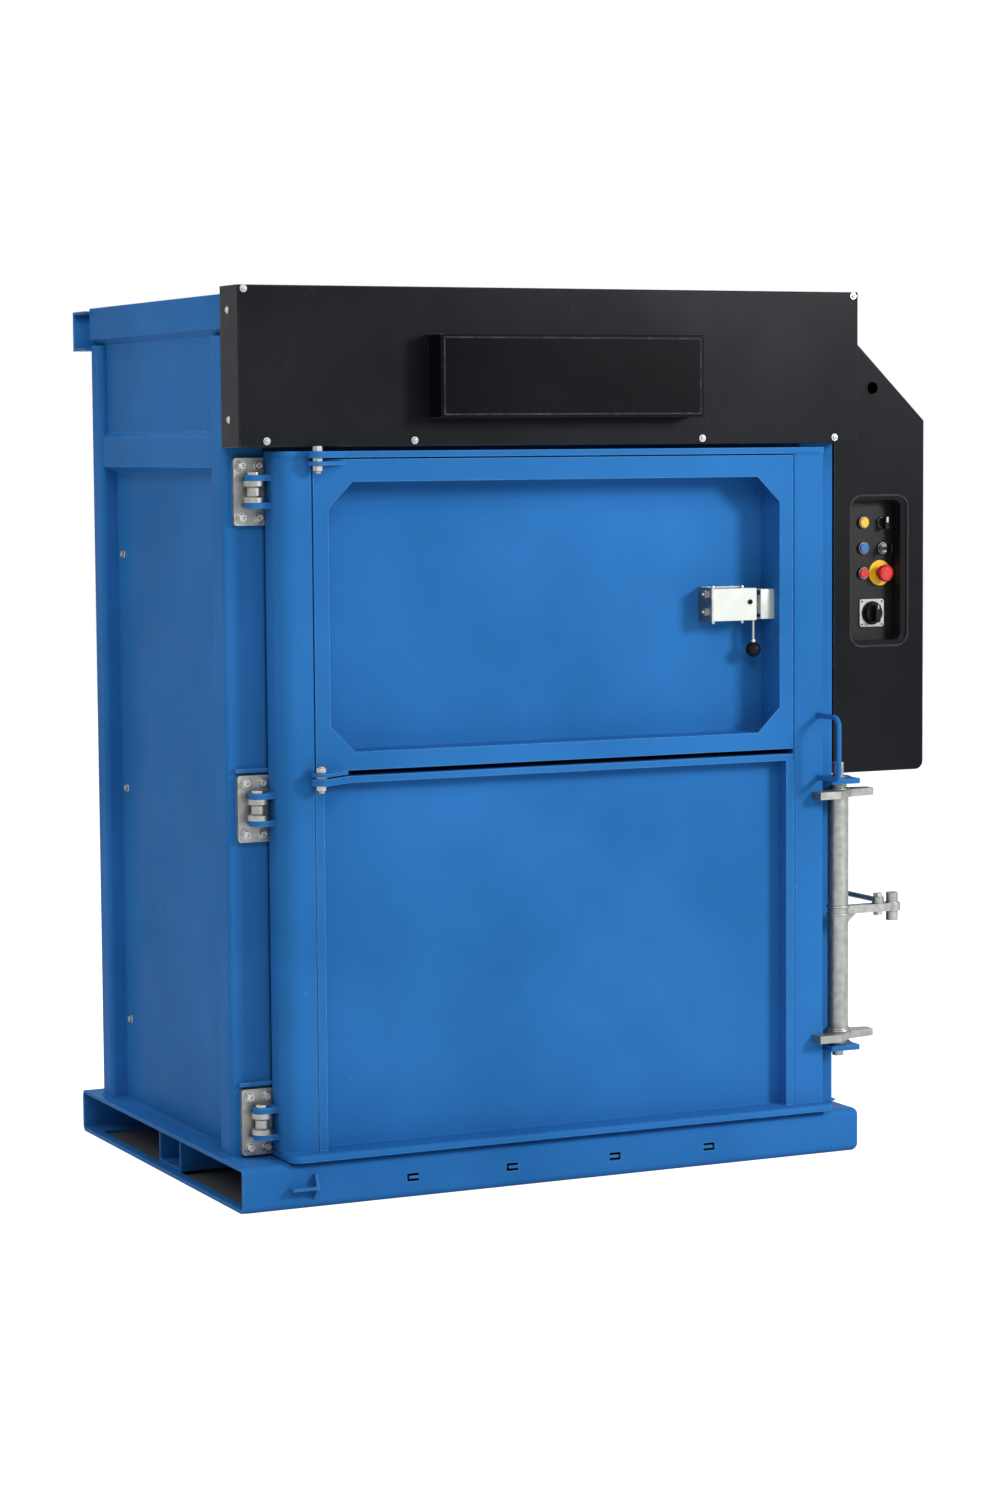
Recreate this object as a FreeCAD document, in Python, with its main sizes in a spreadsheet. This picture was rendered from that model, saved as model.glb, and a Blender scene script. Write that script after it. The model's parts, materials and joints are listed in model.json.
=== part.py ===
import FreeCAD, Part

import os
import re

import Sketcher

# Recycling baler: a welded press frame on a folded base tray, a full-height door hinged on the left
# with a smaller loading hatch in its upper half, a claw lock on the right, a hood over the head beam,
# a control cabinet on the right wall and a press platen on two telescopic cylinders.
#
# Millimetres. X = 0 is the centre plane of the door and the press, Y = 0 the middle of the base's
# depth with the front at -Y, and Z = 0 the floor.

os.makedirs("parts", exist_ok=True)
doc = FreeCAD.newDocument("RecyclingBaler")
sheet = doc.addObject("Spreadsheet::Sheet", "Sizes")

SIZES = {
    # Base tray: one folded plate, open at the left end for fork tines
    "base_left": 779,            # left end, from the centre plane
    "base_right": 757,           # right end
    "base_half_depth": 535,
    "base_height": 100,
    "base_plate": 8,
    "base_bend": 16,             # outer radius of the folds
    "base_flange": 70,           # width of the flanges folded in under the tray
    "base_tie_half": 40,         # tie strap between the flanges, under the tray's centre
    "base_end_bar": 24,          # bar along the bottom of the tray's open end
    "channel_front": 80,         # fork pocket divider, its front and rear webs
    "channel_rear": 60,
    "channel_plate": 6,
    "slot_near": 128,            # strap slots, from the tray's own middle
    "slot_far": 369,
    "slot_height": 45,
    "slot_long": 29,
    "slot_tall": 18,
    "slot_gap": 6,
    "stop_left": 672,            # small stop bracket on the tray's front
    "stop_right": 611,
    "stop_reach": 25,
    "stop_low": 18,
    "stop_high": 75,
    "stop_shelf": 50,
    "stop_plate": 6,
    "stop_crest": 12,
    # Posts: rectangular tubes at the four corners
    "post_outer": 757,
    "post_inner": 657,
    "post_wall": 6,
    "post_bend": 12,
    "post_front": 415,
    "front_post_depth": 77,
    "rear_post_front": 382,
    "rear_post_depth": 68,
    "post_top": 1881,
    # Folded side and rear walls
    "wall_plate": 5,
    "wall_recess": 37,           # lower panel, behind the posts' faces
    "band_recess": 5,            # stiffening band
    "upper_recess": 17,          # panel above the band
    "fold_rise": 3,              # shift of the inner fold lines that keeps the plate's thickness
    "band_slope_low": 1584,
    "band_low": 1599,
    "band_high": 1665,
    "band_slope_high": 1678,
    "beam_slope": 16,
    "beam_top": 1969,
    "beam_fold": 60,
    "notch_wide": 5,
    "notch_tall": 31,
    "notch_rear": 125,
    "notch_front": 36,
    # Channel across the rear top
    "rear_channel_half": 770,
    "rear_channel_low": 1871,
    "rear_channel_high": 1963,
    "rear_channel_plate": 6,
    # Head beam and hood over the door
    "hood_half": 758.5,
    "hood_front": 520,
    "hood_low": 1642,
    "hood_high": 1985,
    "hood_plate": 2,
    "hood_bend": 4,
    "head_plate": 6,
    "head_lip": 25,
    "name_half": 320,
    "name_low": 1702,
    "name_high": 1883,
    "name_depth": 70,
    "name_rim": 8,
    "name_sink": 1.5,
    # Crosshead that carries the cylinders
    "cross_centre": 15,
    "cross_depth": 160,
    "cross_wall": 8,
    "cross_end_gap": 9,          # from the slope of the side beams
    # Screw heads on the covers and walls
    "screw_radius": 7,
    "screw_head": 4,
    "screw_edge": 7,             # from the hood's top edge
    "screw_corner": 745,
    "screw_low": 13,             # from the hood's bottom edge
    "screw_low_far": 696,
    "screw_low_near": 353,
    "screw_side": 60,            # from the hood's front face
    "screw_side_high": 52,
    "screw_side_low": 59,
    "wall_bolt_radius": 9,
    "wall_bolt_head": 6,
    "wall_bolt_inset": 42,       # from the rear post
    "wall_bolt_high": 1395,
    "wall_bolt_pitch": 550,
    # Door hinges on the left front post
    "hinge_axis": 701,
    "hinge_forward": 452,
    "hinge_high": 1547.5,
    "hinge_mid": 864,
    "hinge_low": 179,
    "hinge_plate_wide": 74,
    "hinge_plate_tall": 145,
    "hinge_plate_thick": 15,
    "hinge_plate_corner": 6,
    "knuckle_radius": 22.4,
    "knuckle_waist": 15,
    "knuckle_rim": 11,           # height of the full rim at each end of the knuckle
    "knuckle_slope": 4,
    "knuckle_tall": 46.4,
    "lug_gap": 0.3,
    "lug_thick": 12,
    "lug_radius": 20,
    "hinge_pin": 10,
    "pin_clearance": 0.08,
    "pin_head": 14,
    "pin_head_thick": 6,
    "hinge_screw_radius": 9.5,
    "hinge_screw_head": 8,
    "hinge_screw_across": 19.5,
    "hinge_screw_up": 56,
    "seat_bar_half": 40,
    "seat_bar_thick": 12,
    "seat_bar_tall": 8,
    "seat_bar_gap": 6,
    # Door
    "door_half": 670,
    "door_front": 515,
    "door_depth": 83,
    "door_post_wide": 78,
    "door_wall": 4,
    "door_edge": 5,
    "door_left_edge": 42,        # the door's hinge side is folded to a wide curve
    "door_low": 104,
    "door_high": 1633,
    "door_top_bar": 14,
    "sill_tall": 15,
    "sill_reach": 40,            # in front of the door's face
    "sill_edge": 8,
    "sill_corner": 26,           # the sill's left end, seen from above
    "lip_wide": 20,
    "panel_recess": 40,
    "panel_plate": 4,
    "transom_low": 918,
    "transom_high": 933,
    "handle_across": 656,
    "handle_low": 870,
    "handle_high": 1025,
    "handle_reach": 99,
    "handle_radius": 6,
    "handle_bend": 22,
    # Loading hatch in the door's upper half
    "hatch_gap": 2,              # to the door posts
    "hatch_low": 945,
    "hatch_high": 1616,
    "hatch_depth": 92,
    "hatch_plate": 4,
    "hatch_stile": 35,
    "hatch_top_rail": 49,
    "hatch_bottom_rail": 40,
    "hatch_panel_plate": 5,
    "hatch_gusset": 57,
    "pivot_across": 588,         # hatch pivot axis
    "pivot_forward": 540,
    "pivot_pin": 8,
    "ear_radius": 22,
    "ear_thick": 8,
    "ear_tail": 73,
    "ear_drop": 5,               # top ear, below the hatch's top edge
    "ear_seat": 35,              # bottom ear, reach in under the hatch
    "pivot_nut": 13,
    "pivot_nut_thick": 11,
    "stack_gap": 0.3,
    # Hatch latch
    "latch_height": 1276,
    "latch_forward": 466,
    "latch_left": 397,
    "latch_long": 112,
    "latch_front": 489,
    "latch_box_low": 1241,
    "latch_box_high": 1314,
    "latch_plate": 4,
    "latch_wall": 3,
    "latch_nut": 8,
    "latch_nut_up": 26,
    "latch_nut_down": 14,
    "latch_stud": 3.5,
    "latch_stud_pitch": 75,
    "guide_left": 520,
    "guide_half": 21,
    "bolt_radius": 9,
    "bolt_clearance": 0.08,
    "bolt_hole_clearance": 1,
    "bolt_left": 437,
    "bolt_engaged": 30,          # length inside the door post
    "bolt_travel": 32,
    "lever_across": 513,
    "lever_radius": 3.5,
    "ball_radius": 17.5,
    "lever_drop": 103,           # from the bolt's axis to the ball's centre
    # Claw lock on the right front post
    "lock_across": 724,
    "lock_forward": 490,
    "lock_tube": 24.15,
    "lock_collar": 20,
    "lock_bore": 20,
    "lock_pin": 13,
    "bush_long": 26,
    "lock_high": 858,            # underside of the top bracket
    "lock_low": 248,             # top of the bottom bracket
    "lock_bracket_thick": 12,
    "lock_bracket_half": 38,
    "lock_bracket_wing": 30,
    "lock_bracket_corner": 4,
    "lock_pin_high": 47,
    "lock_pin_low": 26,
    "claw_inset": 14,            # from the bracket to the claw
    "claw_thick": 17,
    "claw_radius": 34,
    "claw_tip": 640,
    "claw_front": 555,
    "claw_gap": 2,               # in front of the door's face
    "claw_tail": 810,
    "claw_tail_half": 15,
    "arm_low": 552,
    "arm_thick": 18,
    "arm_half": 15,
    "arm_end_radius": 20,
    "boss_across": 870,
    "boss_radius": 14,
    "boss_low": 529,
    "boss_high": 594,
    "boss_bore": 10,
    "gusset_leg": 24,
    "gusset_half": 4,
    "clevis_across": 832,
    "clevis_pin": 6,
    "clevis_head": 10,
    "clevis_head_thick": 8,
    "eye_radius": 14,
    "eye_thick": 15,
    "pull_radius": 6.5,
    "pull_end": 60,
    "pull_grip_radius": 12,
    "pull_grip_long": 90,
    "pull_guide_rear": 147,
    "pull_guide_plate": 6,
    "pull_guide_past": 28,       # beyond the pull rod's axis
    "pull_slot_half": 13,
    "pull_guide_bar": 14,
    # Control cabinet on the right wall
    "cabinet_side": 42,          # right of the tub
    "cabinet_low": 872,
    "cabinet_high": 1902,
    "cabinet_depth": 620,
    "cabinet_plate": 3,
    "cabinet_corner": 20,
    "chamfer_start": 29,         # where the sloped corner starts, from the post
    "chamfer_drop": 209,
    "cabinet_hole": 14,
    "cabinet_hole_in": 140,      # from the cabinet's right side
    "cabinet_hole_drop": 133,    # below the cabinet's top
    "tub_drop": 382,             # below the cabinet's top
    "tub_left_side": 38.5,       # control plate beside the button collars
    "tub_right_side": 3,         # beside the emergency stop's collar
    "tub_foot": 30.5,            # below the main switch
    "tub_corner": 30,
    "tub_sink": 55,
    "tub_slope": 12,             # from the cut-out's edge to the control plate's edge
    "tub_flare": 14,             # depth of the bevelled rim
    "tub_inner_corner": 18,
    "tank_wall_gap": 20,
    "tank_tall": 275,
    "tank_front": 260,
    "motor_radius": 70,
    "motor_tall": 260,
    "motor_in": 121,             # from the post
    # Controls
    "button_column": 110,        # from the post
    "column_pitch": 52,
    "row_top": 65,               # below the tub's top edge
    "row_pitch": 60,
    "estop_row": 59,             # below the second row
    "selector_drop": 1,          # the selectors' rows stand lower than the buttons'
    "estop_gap": 1.5,            # between the emergency stop's collar and the red button's
    "collar_radius": 14.5,
    "collar_tall": 8,
    "button_radius": 11.5,
    "button_clearance": 0.1,
    "button_stem": 8,
    "button_travel": 4,
    "button_edge": 1.5,
    "knob_bar": 5,
    "knob_bar_tall": 14,
    "knob_disc_tall": 13,
    "key_blade": 1.5,
    "key_long": 28,
    "key_half": 10,
    "estop_disc": 30,
    "estop_disc_thick": 4,
    "estop_neck": 12,
    "estop_head": 20,
    "estop_proud": 38,
    "estop_head_tall": 18,
    "estop_travel": 6,
    "switch_past": 23,           # right of the button column
    "switch_gap": 31.5,          # below the emergency stop's collar
    "switch_plate": 32.5,
    "switch_plate_thick": 5,
    "switch_knob": 22.5,
    "switch_disc": 14,
    "switch_land": 4,            # straight part of the knob's rim
    "switch_bar": 6,
    "switch_bar_tall": 16,
    # Press platen and its telescopic cylinders
    "platen_half": 640,
    "platen_front": 405,
    "platen_rear": 400,
    "platen_low": 1600,
    "platen_plate": 12,
    "platen_high": 1690,
    "platen_skirt": 8,
    "platen_groove": 24,
    "platen_groove_sink": 6,
    "rib_front": 130,
    "rib_rear": 160,
    "rib_side": 480,
    "shoe_gap": 0.3,
    "shoe_long": 55,
    "cylinder_across": 330,
    "cylinder_flange": 75,
    "cylinder_flange_thick": 15,
    "cylinder_end": 4,           # barrel mouth above the platen's plate
    "barrel_radius": 55,
    "barrel_bore": 47,
    "stage_one_radius": 44,
    "stage_one_bore": 38,
    "stage_two_radius": 35,
    "stage_two_bore": 29,
    "rod_radius": 26,
    "gland_tall": 16,
    "gland_clearance": 0.08,
    "stage_step": 1.2,           # each stage's mouth above the next
    "piston_gap": 2,
}

NAME = re.compile(r"[a-z]+(?:_[a-z]+)+")
SIDES = {"left": -1, "right": 1}
NODES = []
NEAR = 0.01


def fill_sheet():
    for row, (name, value) in enumerate(SIZES.items(), start=1):
        sheet.set(f"A{row}", name)
        sheet.set(f"B{row}", str(value))
        sheet.setAlias(f"B{row}", name)
    doc.recompute()


def bound(text):
    """An expression in the sheet's names, written as the document's objects need it."""
    return NAME.sub(lambda word: f"Sizes.{word.group()}", str(text))


def size(text):
    """The present value of an expression in the sheet's names."""
    return float(sheet.evalExpression(bound(text)))


def span(side, near, far):
    """The X range between two distances from the centre plane, on the left (-1) or right (1)."""
    if side > 0:
        return near, far
    return f"-({far})", f"-({near})"


def node(name, shape):
    """Keeps an object as one of the sub-parts, under its own label."""
    shape.Label = name
    NODES.append(shape)
    return shape


# ---------------------------------------------------------------- solids


def block(name, across, deep, high):
    """A box between two X, two Y and two Z planes."""
    box = doc.addObject("Part::Box", name)
    ranges = (("Length", "x", across), ("Width", "y", deep), ("Height", "z", high))
    for length, axis, (low, top) in ranges:
        box.setExpression(length, bound(f"({top}) - ({low})"))
        box.setExpression(f"Placement.Base.{axis}", bound(low))
    return box


DIRECTIONS = {
    "right": (FreeCAD.Rotation(FreeCAD.Vector(0, 1, 0), 90), "xyz"),
    "back": (FreeCAD.Rotation(FreeCAD.Vector(1, 0, 0), -90), "yxz"),
    "front": (FreeCAD.Rotation(FreeCAD.Vector(1, 0, 0), 90), "yxz"),
    "up": (FreeCAD.Rotation(), "zxy"),
}


def rod(name, direction, radius, ends, centre):
    """A cylinder between two planes, around a centre given by the other two coordinates."""
    turn, axes = DIRECTIONS[direction]
    cylinder = doc.addObject("Part::Cylinder", name)
    cylinder.Placement = FreeCAD.Placement(FreeCAD.Vector(), turn)
    cylinder.setExpression("Radius", bound(radius))
    cylinder.setExpression("Height", bound(f"({ends[1]}) - ({ends[0]})"))
    for axis, value in zip(axes, (ends[0], *centre)):
        cylinder.setExpression(f"Placement.Base.{axis}", bound(value))
    return cylinder


def ball(name, radius, centre):
    sphere = doc.addObject("Part::Sphere", name)
    sphere.setExpression("Radius", bound(radius))
    for axis, value in zip("xyz", centre):
        sphere.setExpression(f"Placement.Base.{axis}", bound(value))
    return sphere


def joined(name, *pieces):
    if len(pieces) == 1:
        return pieces[0]
    fuse = doc.addObject("Part::MultiFuse", name)
    fuse.Shapes = list(pieces)
    fuse.Refine = True
    return fuse


def cut(name, base, *tools):
    difference = doc.addObject("Part::Cut", name)
    difference.Base = base
    difference.Tool = joined(f"{name}_tools", *tools)
    return difference


def draw_outline(sketch, points):
    """A closed outline, each corner held at its own distances from the sketch's origin."""
    corners = [FreeCAD.Vector(size(u), size(v), 0) for u, v in points]
    last = len(corners) - 1
    for start, end in zip(corners, corners[1:] + corners[:1]):
        sketch.addGeometry(Part.LineSegment(start, end))
    for line in range(len(corners)):
        following = 0 if line == last else line + 1
        sketch.addConstraint(Sketcher.Constraint("Coincident", line, 2, following, 1))
    for line, (u, v) in enumerate(points):
        for kind, text, value in (("DistanceX", u, corners[line].x), ("DistanceY", v, corners[line].y)):
            held = sketch.addConstraint(Sketcher.Constraint(kind, -1, 1, line, 1, value))
            sketch.setExpression(f"Constraints[{held}]", bound(text))


PLANE_AXES = {"XY": (0, 1), "XZ": (0, 2), "YZ": (1, 2)}


def outline_sketch(body, plane, points):
    sketch = body.newObject("Sketcher::SketchObject", f"{body.Name}_sketch")
    origin = [item for item in body.Origin.OriginFeatures if item.Role == f"{plane}_Plane"][0]
    sketch.AttachmentSupport = [(origin, "")]
    sketch.MapMode = "FlatFace"
    draw_outline(sketch, points)
    return sketch


def profile(name, plane, points, low, high):
    """An outline in the XY, XZ or YZ plane, padded between two planes square to it."""
    body = doc.addObject("PartDesign::Body", name)
    sketch = outline_sketch(body, plane, points)
    start = f"-({high})" if plane == "XZ" else low
    sketch.setExpression("AttachmentOffset.Base.z", bound(start))
    pad = body.newObject("PartDesign::Pad", f"{name}_pad")
    pad.Profile = sketch
    pad.setExpression("Length", bound(f"({high}) - ({low})"))
    doc.recompute()
    return body


def turned(name, direction, outline, place):
    """A solid of revolution: (radius, height) pairs around an axis that points in a direction."""
    body = doc.addObject("PartDesign::Body", name)
    sketch = outline_sketch(body, "XZ", outline)
    turn = body.newObject("PartDesign::Revolution", f"{name}_turn")
    turn.Profile = sketch
    turn.ReferenceAxis = (sketch, ["V_Axis"])
    turn.Angle = 360
    body.Placement = FreeCAD.Placement(FreeCAD.Vector(), DIRECTIONS[direction][0])
    for axis, value in zip("xyz", place):
        body.setExpression(f"Placement.Base.{axis}", bound(value))
    return body


def rounded(body, radius, chosen):
    """Fillets those edges of a body that the test accepts by their two ends."""
    base = body.Tip
    names = []
    for number, edge in enumerate(base.Shape.Edges, start=1):
        ends = [vertex.Point for vertex in edge.Vertexes]
        if len(ends) == 2 and chosen(ends):
            names.append(f"Edge{number}")
    fillet = body.newObject("PartDesign::Fillet", f"{base.Name}_round")
    fillet.Base = (base, names)
    fillet.setExpression("Radius", bound(radius))
    doc.recompute()
    return body


def at_corners(plane, *corners):
    """Test for edges that run square to a plane through the given corners of an outline."""
    first, second = PLANE_AXES[plane]
    places = [(size(u), size(v)) for u, v in corners]
    return lambda ends: any(all(abs(end[first] - u) < NEAR and abs(end[second] - v) < NEAR
                                for end in ends) for u, v in places)


def on_plane(axis, place):
    """Test for edges that lie in one plane, such as the rim of a front face."""
    value = size(place)
    return lambda ends: all(abs(end["xyz".index(axis)] - value) < NEAR for end in ends)


def rectangle(across, deep):
    (left, right), (low, high) = across, deep
    return [(left, low), (right, low), (right, high), (left, high)]


def rounded_block(name, plane, across, deep, ends, radius):
    """A block whose four edges square to a plane are rounded."""
    corners = rectangle(across, deep)
    return rounded(profile(name, plane, corners, *ends), radius, at_corners(plane, *corners))


# ---------------------------------------------------------------- base


def base_tray():
    across = ("-base_left", "base_right")
    depth = ("-base_half_depth", "base_half_depth")
    plate = profile("tray_block", "YZ", rectangle(depth, (0, "base_height")), *across)
    at_long_edge = at_corners("YZ", *rectangle(depth, (0, "base_height")))
    at_right_end = on_plane("x", "base_right")
    rounded(plate, "base_bend", lambda ends: at_long_edge(ends) or at_right_end(ends))
    inside = block("tray_inside", ("-base_left - base_plate", "base_right - base_plate"),
                   ("-base_half_depth + base_plate", "base_half_depth - base_plate"),
                   ("base_plate", "base_height - base_plate"))
    mouth = block("tray_mouth", ("-base_left + base_end_bar", "base_right - base_flange"),
                  ("-base_half_depth + base_flange", "base_half_depth - base_flange"),
                  ("-base_plate", "base_plate * 2"))
    slots = []
    middle = "(base_right - base_left) / 2"
    for turn in (-1, 1):
        for offset in ("slot_near", "slot_far"):
            slots.append(strap_slot(f"{middle} + {turn} * {offset}", turn))
    tie = block("tray_tie", ("-base_tie_half", "base_tie_half"),
                ("-base_half_depth + base_flange", "base_half_depth - base_flange"), (0, "base_plate"))
    node("base_tray", joined("tray_tied", cut("tray", plate, inside, mouth, *slots), tie))


def strap_slot(centre, turn):
    """A U-shaped slot through the tray's front web, its bend on the outer side."""
    name = f"slot_{len(doc.Objects)}"
    through = ("-base_half_depth - base_plate", "-base_half_depth + base_plate * 1.5")
    outer = block(name, (f"{centre} - slot_long / 2", f"{centre} + slot_long / 2"), through,
                  ("slot_height - slot_tall / 2", "slot_height + slot_tall / 2"))
    shift = f"{-turn} * slot_gap"
    inner = block(f"{name}_tongue",
                  (f"{centre} - slot_long / 2 + {shift}", f"{centre} + slot_long / 2 + {shift}"),
                  through,
                  ("slot_height - slot_tall / 2 + slot_gap", "slot_height + slot_tall / 2 - slot_gap"))
    return cut(f"{name}_cut", outer, inner)


def base_fittings():
    outer = block("divider_outer", ("-base_left + base_end_bar", "base_right - base_plate"),
                  ("-channel_front", "channel_rear"), ("base_plate", "base_height - base_plate"))
    inner = block("divider_inner", ("-base_left", "base_right"),
                  ("-channel_front + channel_plate", "channel_rear - channel_plate"),
                  ("base_plate + channel_plate", "base_height"))
    node("base_centre_channel", cut("divider", outer, inner))

    front = "-base_half_depth - stop_reach"
    shelf = block("stop_shelf", ("-stop_left", "-stop_right"), (front, "-base_half_depth"),
                  ("stop_shelf - stop_plate", "stop_shelf"))
    web = profile("stop_web", "YZ",
                  [("-base_half_depth", "stop_low"), ("-base_half_depth", "stop_high"),
                   ("-base_half_depth - stop_crest", "stop_high"), (front, "stop_shelf"),
                   (front, "stop_shelf - stop_plate")],
                  "-stop_right - stop_plate", "-stop_right")
    node("base_stop_bracket", joined("stop", shelf, web))


# ---------------------------------------------------------------- press frame


def posts():
    depths = {"front": ("-post_front", "-post_front + front_post_depth"),
              "rear": ("rear_post_front", "rear_post_front + rear_post_depth")}
    high = ("base_height", "post_top")
    for row, deep in depths.items():
        for name, side in SIDES.items():
            across = span(side, "post_inner", "post_outer")
            label = f"{row}_{name}_post"
            tube = rounded_block(f"{label}_tube", "XY", across, deep, high, "post_bend")
            hollow = block(f"{label}_hollow",
                           (f"{across[0]} + post_wall", f"{across[1]} - post_wall"),
                           (f"{deep[0]} + post_wall", f"{deep[1]} - post_wall"),
                           (f"{high[0]} - post_wall", f"{high[1]} + post_wall"))
            node(label, cut(f"{label}_cut", tube, hollow))


def wall_steps(face):
    """Outer and inner fold points of a wall that steps out to a band and back, as (depth, height)."""
    low = f"{face} - wall_recess"
    band = f"{face} - band_recess"
    upper = f"{face} - upper_recess"
    outer = [(low, "base_height"), (low, "band_slope_low"), (band, "band_low"), (band, "band_high"),
             (upper, "band_slope_high")]
    inner = [(f"{upper} - wall_plate", "band_slope_high - fold_rise"),
             (f"{band} - wall_plate", "band_high - fold_rise"),
             (f"{band} - wall_plate", "band_low + fold_rise"),
             (f"{low} - wall_plate", "band_slope_low + fold_rise"),
             (f"{low} - wall_plate", "base_height")]
    return outer, inner


def side_walls():
    upper = "post_outer - upper_recess"
    outer, inner = wall_steps("post_outer")
    panel = outer + [(upper, "post_top"), (f"{upper} - wall_plate", "post_top")] + inner
    beam = [("post_inner", "post_top"), (upper, "post_top"), ("post_outer", "post_top + beam_slope"),
            ("post_outer", "beam_top"), ("post_outer - beam_fold", "beam_top"),
            ("post_outer - beam_fold", "beam_top - wall_plate"),
            ("post_outer - wall_plate", "beam_top - wall_plate"),
            ("post_outer - wall_plate", "post_top + beam_slope + fold_rise"),
            (f"{upper} - fold_rise", "post_top + wall_plate"),
            ("post_inner", "post_top + wall_plate")]
    for name, side in SIDES.items():
        wall = profile(f"{name}_panel", "XZ", [(f"{side} * ({u})", v) for u, v in panel],
                       "-post_front + front_post_depth", "rear_post_front")
        top = profile(f"{name}_beam", "XZ", [(f"{side} * ({u})", v) for u, v in beam],
                      "-post_front", "rear_post_front + rear_post_depth")
        notches = []
        for place in ("notch_rear", "-notch_front"):
            notches.append(block(f"{name}_notch_{len(notches)}",
                                 span(side, "post_outer - wall_recess - wall_plate * 2",
                                      "post_outer - wall_recess + wall_plate"),
                                 (f"{place} - notch_wide / 2", f"{place} + notch_wide / 2"),
                                 ("base_height - wall_plate", "base_height + notch_tall")))
        node(f"{name}_side_wall", cut(f"{name}_wall", joined(f"{name}_sheets", wall, top), *notches))


def rear_wall():
    face = "(rear_post_front + rear_post_depth)"
    upper = f"{face} - upper_recess"
    outer, inner = wall_steps(face)
    flange = [(upper, "post_top - wall_plate"), (face, "post_top - wall_plate"), (face, "post_top"),
              (f"{upper} - wall_plate", "post_top")]
    node("rear_wall", profile("rear_panel", "YZ", outer + flange + inner, "-post_inner", "post_inner"))
    rear = "base_half_depth"
    low, high, plate = "rear_channel_low", "rear_channel_high", "rear_channel_plate"
    channel = [(face, low), (rear, low), (rear, high), (face, high), (face, f"{high} - {plate}"),
               (f"{rear} - {plate}", f"{high} - {plate}"), (f"{rear} - {plate}", f"{low} + {plate}"),
               (face, f"{low} + {plate}")]
    node("rear_top_channel", profile("rear_channel", "YZ", channel,
                                     "-rear_channel_half", "rear_channel_half"))


def head_and_crosshead():
    low, high = "hood_low + hood_plate", "hood_high - hood_plate"
    front, rear = "-hood_front + hood_plate", "-post_front"
    half = "hood_half - hood_plate"
    section = [(rear, low), (front, low), (front, f"{low} + head_lip"),
               (f"{front} + head_plate", f"{low} + head_lip"),
               (f"{front} + head_plate", f"{low} + head_plate"),
               (f"{rear} - head_plate", f"{low} + head_plate"),
               (f"{rear} - head_plate", f"{high} - head_plate"),
               (f"{front} + head_plate", f"{high} - head_plate"),
               (f"{front} + head_plate", f"{high} - head_lip"), (front, f"{high} - head_lip"),
               (front, high), (rear, high)]
    beam = profile("head_channel", "YZ", section, f"-({half})", half)
    ends = [block(f"head_end_{name}", span(side, f"{half} - head_plate", half), (front, rear),
                  (low, high)) for name, side in SIDES.items()]
    node("front_head_beam", joined("head_beam", beam, *ends))

    reach = "post_outer - upper_recess - fold_rise - cross_end_gap"
    deep = ("cross_centre - cross_depth / 2", "cross_centre + cross_depth / 2")
    high = ("post_top + wall_plate", "beam_top - wall_plate")
    tube = block("cross_tube", (f"-({reach})", reach), deep, high)
    hollow = block("cross_hollow", ("-post_outer", "post_outer"),
                   (f"{deep[0]} + cross_wall", f"{deep[1]} - cross_wall"),
                   (f"{high[0]} + cross_wall", f"{high[1]} - cross_wall"))
    node("crosshead", cut("crosshead_cut", tube, hollow))


# ---------------------------------------------------------------- hood


def hood():
    front, rear = "-hood_front", "-post_front"
    shell = profile("hood_block", "XZ", rectangle(("-hood_half", "hood_half"), ("hood_low", "hood_high")),
                    front, rear)
    rounded(shell, "hood_bend", on_plane("y", front))
    inside = block("hood_inside", ("-hood_half + hood_plate", "hood_half - hood_plate"),
                   (f"{front} + hood_plate", f"{rear} + hood_plate"),
                   ("hood_low + hood_plate", "hood_high - hood_plate"))
    node("hood_cover", cut("hood_cut", shell, inside))

    box_front = "-hood_front - name_depth"
    box = profile("name_block", "XZ", rectangle(("-name_half", "name_half"), ("name_low", "name_high")),
                  box_front, front)
    rounded(box, "hood_bend", on_plane("y", box_front))
    inside = block("name_inside", ("-name_half + hood_plate", "name_half - hood_plate"),
                   (f"{box_front} + hood_plate + name_sink", f"{front} + hood_plate"),
                   ("name_low + hood_plate", "name_high - hood_plate"))
    panel = block("name_panel", ("-name_half + name_rim", "name_half - name_rim"),
                  (f"{box_front} - name_sink", f"{box_front} + name_sink"),
                  ("name_low + name_rim", "name_high - name_rim"))
    node("hood_name_box", cut("name_cut", box, inside, panel))


def screw_heads():
    heads = []
    face = ("-hood_front - screw_head", "-hood_front")
    places = [("screw_corner", "hood_high - screw_edge"), ("screw_low_far", "hood_low + screw_low"),
              ("screw_low_near", "hood_low + screw_low")]
    for side in SIDES.values():
        for across, height in places:
            heads.append(rod(f"hood_screw_{len(heads)}", "back", "screw_radius", face,
                             (f"{side} * {across}", height)))
        for height in ("hood_high - screw_side_high", "hood_low + screw_side_low"):
            heads.append(rod(f"side_screw_{len(heads)}", "right", "screw_radius",
                             span(side, "hood_half", "hood_half + screw_head"),
                             ("-hood_front + screw_side", height)))
        panel = "post_outer - wall_recess"
        for step in range(3):
            heads.append(rod(f"wall_bolt_{len(heads)}", "right", "wall_bolt_radius",
                             span(side, panel, f"{panel} + wall_bolt_head"),
                             ("rear_post_front - wall_bolt_inset",
                              f"wall_bolt_high - {step} * wall_bolt_pitch")))
    node("cover_screws", joined("screws", *heads))


# ---------------------------------------------------------------- door hinges


HINGES = ("hinge_high", "hinge_mid", "hinge_low")
HINGE_CENTRE = ("-hinge_axis", "-hinge_forward")


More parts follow.
